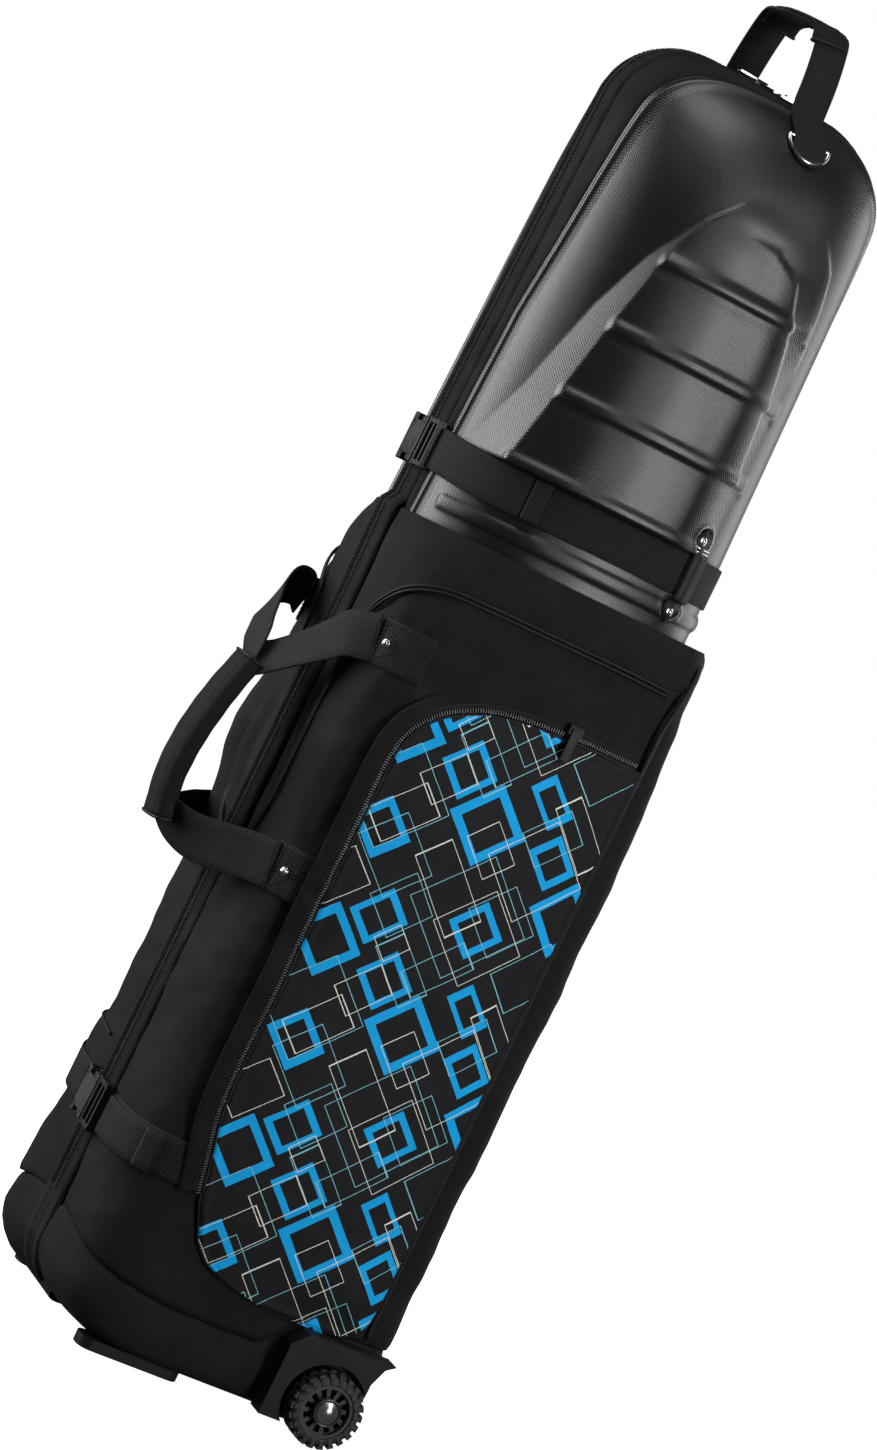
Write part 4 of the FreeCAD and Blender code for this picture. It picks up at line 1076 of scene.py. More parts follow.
def stitch_row(parts, line, lift):
    """Short raised threads along a line that runs beside the zipper."""
    line = resample(line, 4.3)
    for point, along in zip(line, directions(line)):
        out = np.array([0.0, -along[2], along[1]])
        side = np.array([1.0, 0.0, 0.0])
        turn = np.stack([side, along, out], 1)
        parts.box(point + out * lift, (0.55, 3.0, 0.5), turn)


for half in SIDES:
    zipper_side(*half)


def bead_x(z_share):
    """How far the shell's edge bead stands from the zipper, along the arch."""
    return np.interp(z_share, [0.0, 0.18, 0.24, 0.32, 0.40, 0.5, 0.6, 0.76, 1.0],
                     [38.0, 42.0, 50.0, 58.0, 63.0, 65.0, 63.0, 42.0, 38.0])


def shell_flange(side, mirror, body):
    """The moulded flange beside the zipper, ending in two fine beads."""
    count = 620
    spots = np.array([-60, -22, -12, -8, -6.5, -5.5, -4.5, -3, -1.6, 0, 1.6, 3, 5, 8.5, 13.0])
    rise = np.array([1.2, 1.6, 1.9, 1.7, 1.2, 0.6, 0.5, 1.2, 2.4, 3.0, 2.4, 1.2, 0.5, 0.2, -0.6])
    shares = np.linspace(0.0, 1.0, count)
    bead = bead_x(shares)
    points = np.zeros((count, len(spots), 3))
    for c, spot in enumerate(spots):
        xs = bead + spot if spot > -59 else np.full(count, 23.0)
        xs = np.maximum(xs, 23.0 + 0.02 * (spot + 60))
        lines = {}
        for r, x in enumerate(xs):
            key = round(float(x), 1)
            if key not in lines:
                line = arch(key, RIM_Z - 6.0, RIM_Z - 6.0)
                lines[key] = (run_along(line), line)
            arc, line = lines[key]
            at = shares[r] * arc[-1]
            points[r, c] = (x, np.interp(at, arc, line[:, 0]), np.interp(at, arc, line[:, 1]))
    heights = np.broadcast_to(rise, points.shape[:2])
    uvs = np.stack(np.broadcast_arrays(points[..., 0], np.linspace(0, 1250.0, count)[:, None]), -1)
    surface = offset_grid(points, heights)
    grid_object("shell_binding_" + side, surface[:, :6], uvs[:, :6], body, CRINKLED,
                mirror=mirror, slot="piping")
    grid_object("shell_flange_" + side, surface[:, 5:], uvs[:, 5:], body, SHELL,
                mirror=mirror, slot="moulded_shell")


for half in SIDES:
    shell_flange(*half)


def toe_zipper(side, mirror):
    """The zipper's last stretch, over the padded toe."""
    line, _ = outline(BARREL)
    middle = len(line) // 2
    xs = np.array([0.0, 2.0, 3.0, 4.2, 5.0, 6.2, 8.4, 9.2, 10.6, 12.0, 15.0, 19.0, 22.5, 24.0])
    rise = np.array([2.0, 2.0, 3.0, 3.0, 1.9, 1.9, 1.9, 2.4, 3.4, 3.9, 4.2, 3.9, 2.6, -0.4])
    z = np.linspace(20.0, 99.0, 60)
    points = np.zeros((len(z), len(xs), 3))
    for r, height in enumerate(z):
        squeeze = min(1.0, float(np.interp(height, TOE_Z, TOE_Y)) / TOE_Y[-1])
        points[r, :, 0] = xs
        points[r, :, 1] = (np.interp(xs, line[:middle, 0], line[:middle, 1]) - SKIN_GROW) * squeeze
        points[r, :, 2] = height
    uvs = np.stack(np.broadcast_arrays(xs[None, :], z[:, None]), -1)
    grid_object("toe_zipper_" + side, offset_grid(points, np.broadcast_to(rise, points.shape[:2])),
                uvs, ROOT, TAPE, mirror=mirror, slot="zipper_tape")


toe_zipper("near", False)
toe_zipper("far", True)


# ---------------------------------------------------------------- piping

def piping(name, places, radius, grow, body, mirror=False, replaces=(), gap=0.0):
    """A cord along places on a surface; gap splits it into two cords side by side."""
    parts = Parts()
    line = resample(rounded_line(places, 26.0), 4.0)
    for shift in ((-gap / 2, gap / 2) if gap else (0.0,)):
        parts.tube(on_fabric(line + left_of(line) * shift, grow), radius, 8)
    return parts.build(name, body, PIPING, mirror=mirror, slot="piping", replaces=replaces)


CORNER = [(BACK_CORNER_S, 102.0), (BACK_CORNER_S, 440.0), (BACK_CORNER_S, RIM_Z - 3.0)]
piping("corner_piping_near_cord", CORNER, 2.3, 2.6, NEAR, replaces=["corner_piping_near"])
piping("corner_piping_far_cord", CORNER, 2.3, 2.6, ROOT, True, ["corner_piping_far"])
piping("panel_piping_cord", PANEL_SEAM, 1.35, 2.4, NEAR, replaces=["panel_piping"], gap=4.0)
piping("panel_piping_far_cord", PANEL_SEAM, 1.35, 2.4, ROOT, True, gap=4.0)
FAR_LOW_EDGE = [(barrel_s(44, -153), 238.0), (barrel_s(100, -145), 244.0),
                (barrel_s(138, -90), 250.0), (barrel_s(140, 20), 250.0)]
piping("far_low_piping", FAR_LOW_EDGE, 1.5, 5.0, ROOT, True)


# ---------------------------------------------------------------- printed pocket

POCKET_LEFT = ((92, 34), (93, 19), (96, 1), (100, -17), (106, -38), (113, -53), (127, -67),
               (160, -82), (206, -92), (232, -99), (262, -102), (577, -102), (603, -99.5),
               (626, -86), (642, -65), (655, -34), (661, 5), (664, 34))
POCKET_LOW, POCKET_TOP = 92.0, 664.0
POCKET_RIGHT = ((92, 78), (95, 95), (99, 104), (106, 112), (115, 116), (135, 118), (664, 118))


def pocket_edges(z):
    """The pocket's left and right edge at a height."""
    return (np.interp(z, *zip(*POCKET_LEFT)), np.interp(z, *zip(*POCKET_RIGHT)))


def pocket_height(y, z):
    """How far the printed cloth stands off the wall."""
    left, right = pocket_edges(z)
    to_side = np.minimum(y - left, right - y)
    to_end = np.minimum(z - POCKET_LOW, POCKET_TOP - z) * 0.8
    inside = np.clip(np.minimum(to_side, to_end), 0.0, 80.0)
    folds = 0.9 * waves(y, z, 41, 10, 60.0, 150.0) + 0.3 * waves(y, z, 42, 10, 20.0, 45.0)
    d = 3.4 + 8.6 * (1.0 - np.exp(-inside / 30.0)) + folds * smooth(inside / 30.0)
    return d + 1.5 * bump(inside - 4.0, 3.0)


def printed_pocket():
    """The printed cover, its edge turned in to the wall."""
    z = lerp(POCKET_LOW, POCKET_TOP, 0.5 - 0.5 * np.cos(np.linspace(0.0, math.pi, 150)))
    t = np.linspace(0.0, 1.0, 90)
    left, right = pocket_edges(z)
    y = left[:, None] + (right - left)[:, None] * t[None, :]
    zz = np.broadcast_to(z[:, None], y.shape)
    x = 140.4 + pocket_height(y, zz)
    points = np.stack([x, y, zz], -1)
    points = np.pad(points, ((1, 1), (1, 1), (0, 0)), mode="edge")
    points[[0, -1], :, 0] = 140.3
    points[:, [0, -1], 0] = 140.3
    cover = grid_object("printed_pocket_cover", points, points[..., 1:], NEAR, PRINT,
                        slot="printed_fabric", replaces=["pocket_cover"])


printed_pocket()


def pocket_route(shift):
    """The line round the pocket's zipped edge: up its left side and along its top."""
    low = 168.0
    corners = [(y, z) for z, y in POCKET_LEFT if z > low and y < 20]
    corners += [(60.0, 664.5), (113.0, 664.5)]
    line = resample(np.array([(-84.0, low)] + corners, float), 3.0)
    padded = np.vstack([2 * line[0] - line[5:0:-1], line, 2 * line[-1] - line[-2:-7:-1]])
    weights = np.ones(11) / 11.0
    line = np.stack([np.convolve(column, weights, "valid") for column in padded.T], 1)
    return line + left_of(line) * shift


def wall_x(y, z):
    """How far the near wall stands out beside the pocket."""
    return 140.0 + SKIN_GROW + near_relief(NEAR_MIDDLE_S + y, z)


def pocket_trim():
    """The crinkled gusset, the zipper beside the print and the binding below."""
    spots = np.array([1.0, 2.2, 5.0, 8.5, 12.0, 15.5, 18.5, 20.5, 21.5])
    rise = np.array([1.8, 2.6, 2.4, 2.4, 2.5, 2.4, 2.0, 1.2, -0.4])
    grid = np.stack([resample_to(pocket_route(spot), 300) for spot in spots], 1)
    x = wall_x(grid[..., 0], grid[..., 1]) + rise
    points = np.concatenate([x[..., None], grid], -1)[:, ::-1]
    uvs = np.stack(np.broadcast_arrays(spots[::-1], np.linspace(0, 900.0, 300)[:, None]), -1)
    grid_object("pocket_gusset", points, uvs, NEAR, CRINKLED, slot="zipper_tape",
                replaces=["pocket_zip_band"])
    teeth = Parts()
    line = resample(pocket_route(3.6), TOOTH_PITCH)
    for (y, z), (ty, tz) in zip(line, directions(line)):
        turn = np.array([(1, 0, 0), (0, ty, -tz), (0, tz, ty)])
        teeth.box((float(wall_x(y, z)) + 3.4, y, z), (1.6, 1.25, 4.2), turn)
    soften(teeth.build("pocket_zipper_teeth", NEAR, TEETH, slot="zipper_tape",
                       smooth_shade=False), 0.3, 1)
    cords = Parts()
    for shift, radius, lift in ((-0.6, 1.4, 2.6), (6.6, 0.8, 2.4), (8.6, 0.8, 2.4)):
        line = pocket_route(shift)
        cords.tube(np.column_stack([wall_x(line[:, 0], line[:, 1]) + lift, line]), radius, 7)
    edge = [(y, z) for z, y in POCKET_LEFT if z < 240][::-1]
    edge += [(y, z) for z, y in POCKET_RIGHT if 94 < z < 150] + [(118.5, 400.0), (118.5, 664.0)]
    line = resample(edge, 4.0)
    cords.tube(np.column_stack([np.full(len(line), 142.6), line]), 1.7, 7)
    cords.build("pocket_piping", NEAR, PIPING, slot="piping")


pocket_trim()


# ---------------------------------------------------------------- webbing

def strap(name, centres, outward, width, thick, body, replaces=(), mirror=False, ends=(),
          round_start=0.0):
    """A webbing strap; ends adds folded ends at 'start' or 'finish'."""
    centres = np.asarray(centres, float)
    side, normal = strap_sides(centres, outward)
    if round_start:
        run = np.linalg.norm(centres - centres[0], axis=1)
        share = np.clip(1.0 - run / round_start, 0.0, 1.0)
        side = side * np.maximum(0.35, np.sqrt(1.0 - share ** 2))[:, None]
    parts = Parts()
    parts.sweep(centres, side, normal, strap_profile(width, thick))
    for end in ends:
        part = slice(0, 6) if end == "start" else slice(-6, None)
        parts.sweep(centres[part] + normal[part] * (thick * 0.9), side[part], normal[part],
                    strap_profile(width, thick))
    return parts.build(name, body, WEBBING, mirror=mirror, slot="webbing", replaces=replaces)


def belt_line(section, z, start_s, finish_s, grow, relief=None):
    """Centres and outward directions of a strap round the case; z is a height or gives one."""
    count = max(4, int(abs(finish_s - start_s) / 3.0))
    s = np.linspace(start_s, finish_s, count)
    if relief is not None:
        x, y = on_section(section, s)
        grow = grow + relief(s, z(x, y) if callable(z) else np.full(count, z))
    x, y = on_section(section, s, grow)
    x1, y1 = on_section(section, s, grow + 1.0)
    height = z(x, y) if callable(z) else np.full(count, z)
    return np.stack([x, y, height], 1), np.stack([x1 - x, y1 - y, np.zeros(count)], 1)


UPPER_STRAP_Z, LOWER_STRAP_Z = 840.0, 184.0
UPPER = shell_section(UPPER_STRAP_Z)
upper_end = arc_at_x(*outline(UPPER), 12.0, False)
lower_end = barrel_s(139.0, -99)


def front_s(section, x):
    """Arc length where a section's front passes x."""
    return arc_at_x(*outline(section), x)


def upper_height(x, y):
    """The upper strap climbs a little towards its buckle."""
    return UPPER_STRAP_Z + 6.0 * (1.0 - smooth((np.asarray(x) - 20.0) / 80.0)) * (np.asarray(y) < 0)


def far_lower_height(x, y):
    """The far lower strap rises towards the case's side."""
    return 188.0 + 0.0009 * (x - 30.0) ** 2


line, out = belt_line(UPPER, upper_height, front_s(UPPER, 26.0), upper_end, 2.3)
strap("upper_webbing_near", line, out, 40.0, 2.0, NEAR, ["upper_strap_near"])
line, out = belt_line(UPPER, upper_height, front_s(UPPER, 28.0), upper_end, 2.3)
strap("upper_webbing_far", line, out, 40.0, 2.0, ROOT, ["upper_strap_far"], True)
line, out = belt_line(UPPER, upper_height, front_s(UPPER, 32.0), place_on(UPPER, 120, -66), 5.6)
strap("upper_webbing_tail", line, out, 39.0, 2.0, NEAR, ["upper_strap_tail"], ends=["finish"])

line, out = belt_line(BARREL, LOWER_STRAP_Z, front_s(BARREL, 31.0), lower_end, 3.2, near_relief)
strap("lower_webbing_near", line, out, 38.0, 2.0, NEAR, ["lower_strap_near"])
line, out = belt_line(BARREL, far_lower_height, front_s(BARREL, 33.0), lower_end, 3.2, far_relief)
strap("lower_webbing_far", line, out, 38.0, 2.0, ROOT, ["lower_strap_far"], True)
line, out = belt_line(BARREL, LOWER_STRAP_Z - 2.0, front_s(BARREL, 36.0), barrel_s(126.0, -129),
                      6.4, near_relief)
strap("lower_webbing_tail", line, out, 37.0, 2.0, NEAR, ["lower_strap_tail"], ends=["finish"])


def stitch_line(parts, places, grow):
    """Raised threads along a line of (s, z) places."""
    places = resample(places, 3.9)
    points = on_fabric(places, grow)
    outer = on_fabric(places, grow + 1.0)
    for point, lift, along in zip(points, outer - points, directions(points)):
        out = lift / np.linalg.norm(lift)
        side = np.cross(along, out)
        parts.box(point, (0.7, 2.6, 0.6), np.stack([side, along, out], 1))


def boxed_cross(parts, s0, s1, z0, z1, grow):
    """The stitched rectangle with its two diagonals."""
    corners = [(s0, z0), (s1, z0), (s1, z1), (s0, z1), (s0, z0)]
    for start, finish in zip(corners[:-1], corners[1:]):
        stitch_line(parts, [start, finish], grow)
    stitch_line(parts, [corners[0], corners[2]], grow)
    stitch_line(parts, [corners[1], corners[3]], grow)


# the carry handle's patches: height, where they start and end on the section, and their height
PATCHES = ((671.0, 103, -147, 136.5, -107, 44.0), (453.0, 110, -145, 135.5, -111, 46.0))


def handle_patch(side, mirror, body):
    """The stitched patches that hold the carry handle on one side."""
    relief = far_relief if mirror else near_relief
    webbing, thread = Parts(), Parts()
    for z, x0, y0, x1, y1, width in PATCHES:
        section = fabric_section(z)
        s0, s1 = place_on(section, x0, y0), place_on(section, x1, y1)
        centres, out = belt_line(section, z, s0 - 3.0, s1, 3.0, relief)
        lift = 4.2 + float(relief(0.5 * (s0 + s1), z))
        across, normal = strap_sides(centres, out)
        webbing.sweep(centres, across, normal, strap_profile(width, 2.0))
        boxed_cross(thread, s0 + 5, s1 - 3, z - width / 2 + 3.5, z + width / 2 - 3.5, lift)
    webbing.build("handle_patch_" + side, body, WEBBING, mirror=mirror, slot="webbing",
                  replaces=["handle_patches_" + side])
    if not mirror:
        lift = 4.4 + float(near_relief(lower_end - 12.0, LOWER_STRAP_Z))
        boxed_cross(thread, lower_end - 24, lower_end - 3, 169, 199, lift)
    thread.build("patch_stitches_" + side, body, THREAD, mirror=mirror, slot="webbing")


for half in SIDES:
    handle_patch(*half)


# ---------------------------------------------------------------- rivets, keepers and buckles

def rivet(parts, centre, out, radius=4.4):
    """A domed rivet head on its washer."""
    out = np.asarray(out, float) / np.linalg.norm(out)
    side = np.cross(out, (0, 0, 1.0))
    side /= np.linalg.norm(side)
    up = np.cross(side, out)
    profile = [(0.0, radius), (0.7, radius), (1.1, radius * 0.86), (1.2, radius * 0.62),
               (2.0, radius * 0.55), (2.7, radius * 0.34), (2.95, 0.02)]
    turns = np.linspace(0, math.tau, 24, endpoint=False)
    points = [np.asarray(centre) + out * h + (side * math.cos(t) + up * math.sin(t)) * r
              for h, r in profile for t in turns]
    parts.add(points, grid_faces(len(profile), 24, closed=True))


def keeper_and_rivets(side, mirror, body):
    """The strap keeper on the shell's back corner, and the bright rivets and bars of one side."""
    s = place_on(UPPER, 121, 84)
    band, metal = Parts(), Parts()
    x0, y0 = on_section(UPPER, np.array([s - 2.0, s + 2.0]), 0.0)
    across = np.array([x0[1] - x0[0], y0[1] - y0[0], 0.0])
    across /= np.linalg.norm(across)
    out = np.array([across[1], -across[0], 0.0])
    base = np.array([*[float(v) for v in on_section(UPPER, s)], UPPER_STRAP_Z])
    steps = [(-46, 1.2), (-36, 1.0), (-26, 2.0), (-23, 6.6), (-20, 7.8), (0, 8.2), (20, 7.8),
             (23, 6.6), (26, 2.0), (36, 1.0), (46, 1.2)]
    line = spline([(0, z, h) for z, h in steps], 2.0)
    for k in range(len(line) - 1):
        ends = []
        for point in (line[k], line[k + 1]):
            half = max(1.5, min(9.5, 9.5 * (47.0 - abs(point[1])) / 11.0))
            centre = base + out * point[2] + np.array([0, 0, point[1]])
            for a, h in ((-half, 0.0), (-half, 1.5), (half, 1.5), (half, 0.0)):
                ends.append(centre + across * a + out * h)
        band.add(ends, [(0, 1, 5, 4), (1, 2, 6, 5), (2, 3, 7, 6), (3, 0, 4, 7)])
    band.build("strap_keeper_band_" + side, body, PIPING, mirror=mirror, slot="webbing",
               replaces=["strap_keeper_" + side])
    for dz in (-35.0, 35.0):
        rivet(metal, base + out * 2.4 + np.array([0, 0, dz]), out)
    for dz in (24.5, 28.0):
        centre = base + out * 5.6 + np.array([0, 0, dz])
        metal.tube([centre - across * 9.5, centre + across * 9.5], 1.0, 10)
    for z, x, y, *_ in PATCHES:
        place = fabric_section(z)
        ps = place_on(place, x, y) + 15.0
        at = np.array([float(v) for v in on_section(place, ps, 5.2)])
        outer = np.array([float(v) for v in on_section(place, ps, 6.2)])
        rivet(metal, (*at, z), (*(outer - at), 0.0), 4.0)
    metal.build("rivets_and_bars_" + side, body, CHROME, mirror=mirror, slot="chrome",
                replaces=["rivets_" + side])


for half in SIDES:
    keeper_and_rivets(*half)


def buckle(which, z, face_y, tilt, socket_finish, socket_slot):
    """A side-release buckle: socket with side windows on the far strap, ladder frame near."""
    y = -face_y - 3.0
    socket, plug, latch = Parts(), Parts(), Parts()
    wide, deep = 46.0, 12.0
    lean = math.radians(tilt)
    turn = np.array([(math.cos(lean), 0, -math.sin(lean)), (0, 1, 0),
                     (math.sin(lean), 0, math.cos(lean))])

    def put(parts, x, dy, dz, size):
        parts.box(turn @ np.array([x, 0, dz]) + np.array([0, y - dy, z]), size, turn)

    for dy in (1.3, deep - 1.3):
        put(socket, -13.0, dy, 0.0, (37.0, 2.6, 33.0))
        for side in (-1, 1):
            put(socket, -26.0, dy, side * 18.0, (11.0, 2.6, 8.0))
            put(socket, 2.0, dy, side * 18.0, (7.0, 2.6, 8.0))
    put(socket, -29.5, deep / 2, 0.0, (4.0, deep, wide))
    put(socket, -24.0, deep / 2, 0.0, (3.0, deep, wide - 4))
    for dz in (-14.0, 14.0):
        put(socket, -13.0, deep / 2, dz, (36.0, deep - 2, 1.8))
    put(latch, -16.0, deep - 0.2, 0.0, (16.0, 1.0, 24.0))
    for side in (-1, 1):
        put(plug, -3.0, deep / 2, side * 18.4, (16.0, 7.0, 7.6))
        put(plug, -12.5, deep / 2, side * 18.4, (5.0, 7.0, 5.0))
        put(plug, 19.5, deep / 2, side * 20.6, (24.0, deep - 3, 4.8))
    put(plug, 0.5, deep / 2, 0.0, (13.0, 3.6, 9.0))
    for x, size in ((9.0, 5.0), (19.5, 3.6), (30.0, 4.2)):
        put(plug, x, deep / 2, 0.0, (size, deep - 3.5, wide - 5))
    put(plug, 9.0, deep / 2 + 2.6, 0.0, (4.0, 5.0, wide + 2))
    soften(socket.build(which + "_buckle_socket_shape", ROOT, socket_finish, slot=socket_slot,
                        replaces=[which + "_buckle_socket"], smooth_shade=False), 1.1, 3)
    soften(latch.build(which + "_buckle_badge", ROOT, socket_finish, slot=socket_slot,
                       smooth_shade=False), 0.45, 2)
    soften(plug.build(which + "_buckle_plug_shape", NEAR, BLACK, slot="black_plastic",
                      replaces=[which + "_buckle_plug"], smooth_shade=False), 0.9, 3)


buckle("upper", 847.0, 144.0, 0.0, BLACK, "black_plastic")
buckle("lower", 185.0, 153.0, -3.0, GREY, "grey_plastic")


# ---------------------------------------------------------------- carry handle

NEAR_CARRY = (((84, -166, 665), (0.8, -1, 0.2)), ((64, -173, 652), (0.6, -1, 0.4)),
              ((40, -185, 633), (0.4, -1, 0.5)), ((16, -200, 613), (0.2, -1, 0.4)),
              ((4, -213, 600), (0, -1, 0.2)), ((0, -225, 566), (0, -1, 0)),
              ((0, -232.5, 525), (0, -1, 0)), ((0, -234.5, 490), (0, -1, 0)),
              ((0, -231, 462), (0, -1, -0.1)), ((8, -219, 448), (0.1, -1, -0.4)),
              ((24, -208, 442), (0.4, -1, -0.4)), ((44, -197, 441), (0.6, -1, -0.3)),
              ((68, -181, 445), (0.8, -1, -0.1)), ((90, -163, 450), (0.9, -1, 0)))
FAR_CARRY = (((94, -162, 679), (1.0, -0.6, 0.1)), ((76, -180, 677), (0.9, -0.8, 0.5)),
             ((50, -198, 660), (0.5, -1, 0.7)), ((24, -207, 636), (0.1, -1, 0.5)),
             ((6, -209, 606), (0.1, -1, 0.2)), ((0, -218, 566), (0, -1, 0)),
             ((0, -225.5, 525), (0, -1, 0)), ((0, -227.5, 490), (0, -1, 0)),
             ((0, -224, 462), (0, -1, -0.1)), ((10, -213, 449), (0.2, -1, -0.5)),
             ((26, -204, 443), (0.5, -1, -0.4)), ((50, -190, 447), (0.7, -1, -0.2)),
             ((78, -172, 451), (0.9, -1, 0)))


def carry_strap(name, stations, width, body, mirror, replaces, relief):
    """Webbing from the upper patch, down inside the grip and back to the lower patch."""
    ends = []
    for z, x, y, *_ in PATCHES:
        s = place_on(fabric_section(z), x, y) + 2.0
        ends.append((on_fabric([(s, z)], 5.0 + float(relief(s, z)))[0], (1, -1, 0)))
    route = [ends[0], *stations, ends[1]]
    line = spline([point for point, _ in route], 4.0)
    share = np.linspace(0, len(route) - 1, len(line))
    outward = np.array([out for _, out in route], float)
    out = np.stack([np.interp(share, range(len(route)), outward[:, k]) for k in range(3)], 1)
    strap(name, line, out, width, 2.4, body, replaces, mirror)


carry_strap("carry_webbing_near", NEAR_CARRY, 44.0, NEAR, False, ["carry_loop_near"], near_relief)
carry_strap("carry_webbing_far", FAR_CARRY, 40.0, ROOT, True, ["carry_loop_far"], far_relief)


def padded_sleeve(name, line, side, normal, half_width, half_depth, replaces, slit, power):
    """A soft wrap round a strap, open along a slit on its far edge."""
    line = np.asarray(line, float)
    turns = np.radians(np.linspace(180.0 + slit, 540.0 - slit, 40))
    rows = []
    for k, (centre, across, out) in enumerate(zip(line, side, normal)):
        t = k / (len(line) - 1)
        swell = 0.93 + 0.07 * math.sin(math.pi * t) + 0.012 * math.sin(t * 40.0)
        ring = []
        for turn in turns:
            c, s = math.cos(turn), math.sin(turn)
            ray = (abs(c) ** power + abs(s) ** power) ** (-1.0 / power)
            ring.append(centre + across * (c * ray * half_width * swell)
                        + out * (s * ray * half_depth * swell))
        rows.append(ring)
    points = np.array(rows)
    uvs = np.stack(np.broadcast_arrays(np.linspace(0, 120, len(turns))[None, :],
                                       np.linspace(0, 165, len(line))[:, None]), -1)
    sleeve = grid_object(name, points, uvs, NEAR, FABRIC, slot="padded_fabric",
                         replaces=replaces)
    thicken(sleeve, 2.2, LINING)
    binding = Parts()
    for end in (0, -1):
        ring = points[end]
        binding.tube(ring, 1.5, 7, guide=(0.02, 0.03, 1.0))
    for column in (13, 27):
        binding.tube(points[:, column], 0.55, 6, guide=(1.0, 0.1, 0.0))
    binding.build(name + "_binding", NEAR, PIPING, slot="piping")


grip_line = spline([(1, -211, 604), (0.5, -221.5, 566), (0, -229, 525), (0, -231, 490),
                    (0.5, -229, 466), (1.0, -225, 442)], 5.0)
grip_side, grip_out = strap_sides(grip_line, np.tile((0.0, -1.0, 0.0), (len(grip_line), 1)))
grip_side = grip_side * np.sign(grip_side[0][0])
padded_sleeve("carry_grip_sleeve", grip_line, grip_side, grip_out, 25.0, 10.5, ["handle_grip"],
              24.0, 3.2)


# ---------------------------------------------------------------- grab handle on the crown

def crown_z(x, y):
    """Height of the shell at a plan point near its crown."""
    low, high = 1100.0, 1270.0
    for _ in range(30):
        z = 0.5 * (low + high)
        if abs(shell_y(abs(x), z, y < 0)) > abs(y):
            low = z
        else:
            high = z
    return low


def crest(x):
    """The top handle stands a little higher towards the far side."""
    return 6.0 * (1.0 - smooth((x + 45.0) / 85.0))


def grab_strap(name, leg_y, crown_end, width, body, mirror, replaces):
    """Half of the top handle: a tab on the crown, a leg and its share of the top."""
    middle_y = 7.0
    tab = [(x, leg_y, crown_z(x, leg_y) + lift) for x, lift in
           ((110.0, 3.6), (106.0, 5.4), (101.0, 7.4), (96.0, 7.6), (90.0, 5.4), (84.0, 3.4),
            (77.0, 2.8), (69.0, 2.6))]
    leg = [(64.0, leg_y, crown_z(64.0, leg_y) + 4.0)]
    leg += [(x, lerp(leg_y, middle_y, share), z) for x, share, z in
            ((61.5, 0.0, 1274.0), (58.5, 0.0, 1292.0), (55.0, 0.08, 1312.0), (51.5, 0.2, 1329.0),
             (48.5, 0.3, 1338.5), (43.0, 0.4, 1343.0), (30.0, 0.65, 1345.0), (16.0, 0.85, 1345.8))]
    route = tab + leg + [(crown_end, middle_y, 1346.2)]
    line = spline(route, 2.0)
    own_x = -line[:, 0] if mirror else line[:, 0]
    line[:, 2] += crest(own_x) * smooth((line[:, 2] - 1290.0) / 45.0)
    ahead = np.gradient(line, axis=0)
    out = np.cross(ahead, (0.0, 1.0, 0.0))
    out *= np.sign(out[0][2])
    strap(name, line, out, width, 2.6, body, replaces, mirror, round_start=13.0)


grab_strap("grab_webbing_near", 20.0, -36.0, 35.0, NEAR, False, ["grab_handle_near"])
grab_strap("grab_webbing_far", -6.0, 22.0, 34.0, ROOT, True, ["grab_handle_far"])

wrap_line = spline([(-50, 3.4, 1331.0), (-47, 3.8, 1339.5), (-38, 5.0, 1344.6), (-18, 6.6, 1346.6),
                    (0, 7.4, 1347.0), (20, 8.8, 1346.4), (40, 11.6, 1344.2), (48, 13.2, 1339.0),
                    (51.5, 14.6, 1330.0)], 3.0)
wrap_line[:, 2] += crest(wrap_line[:, 0])
wrap_out = np.cross(np.gradient(wrap_line, axis=0), (0.0, -1.0, 0.0))
wrap_out *= np.sign(wrap_out[len(wrap_out) // 2][2])
wrap_side, wrap_out = strap_sides(wrap_line, wrap_out)
wrap_side = wrap_side * np.sign(wrap_side[0][1])
padded_sleeve("grab_grip_sleeve", wrap_line, wrap_side, wrap_out, 19.6, 3.6, [], 14.0, 3.6)


# ---------------------------------------------------------------- wheels, housings and feet

WHEEL_Y, WHEEL_Z = 101.0, 35.0


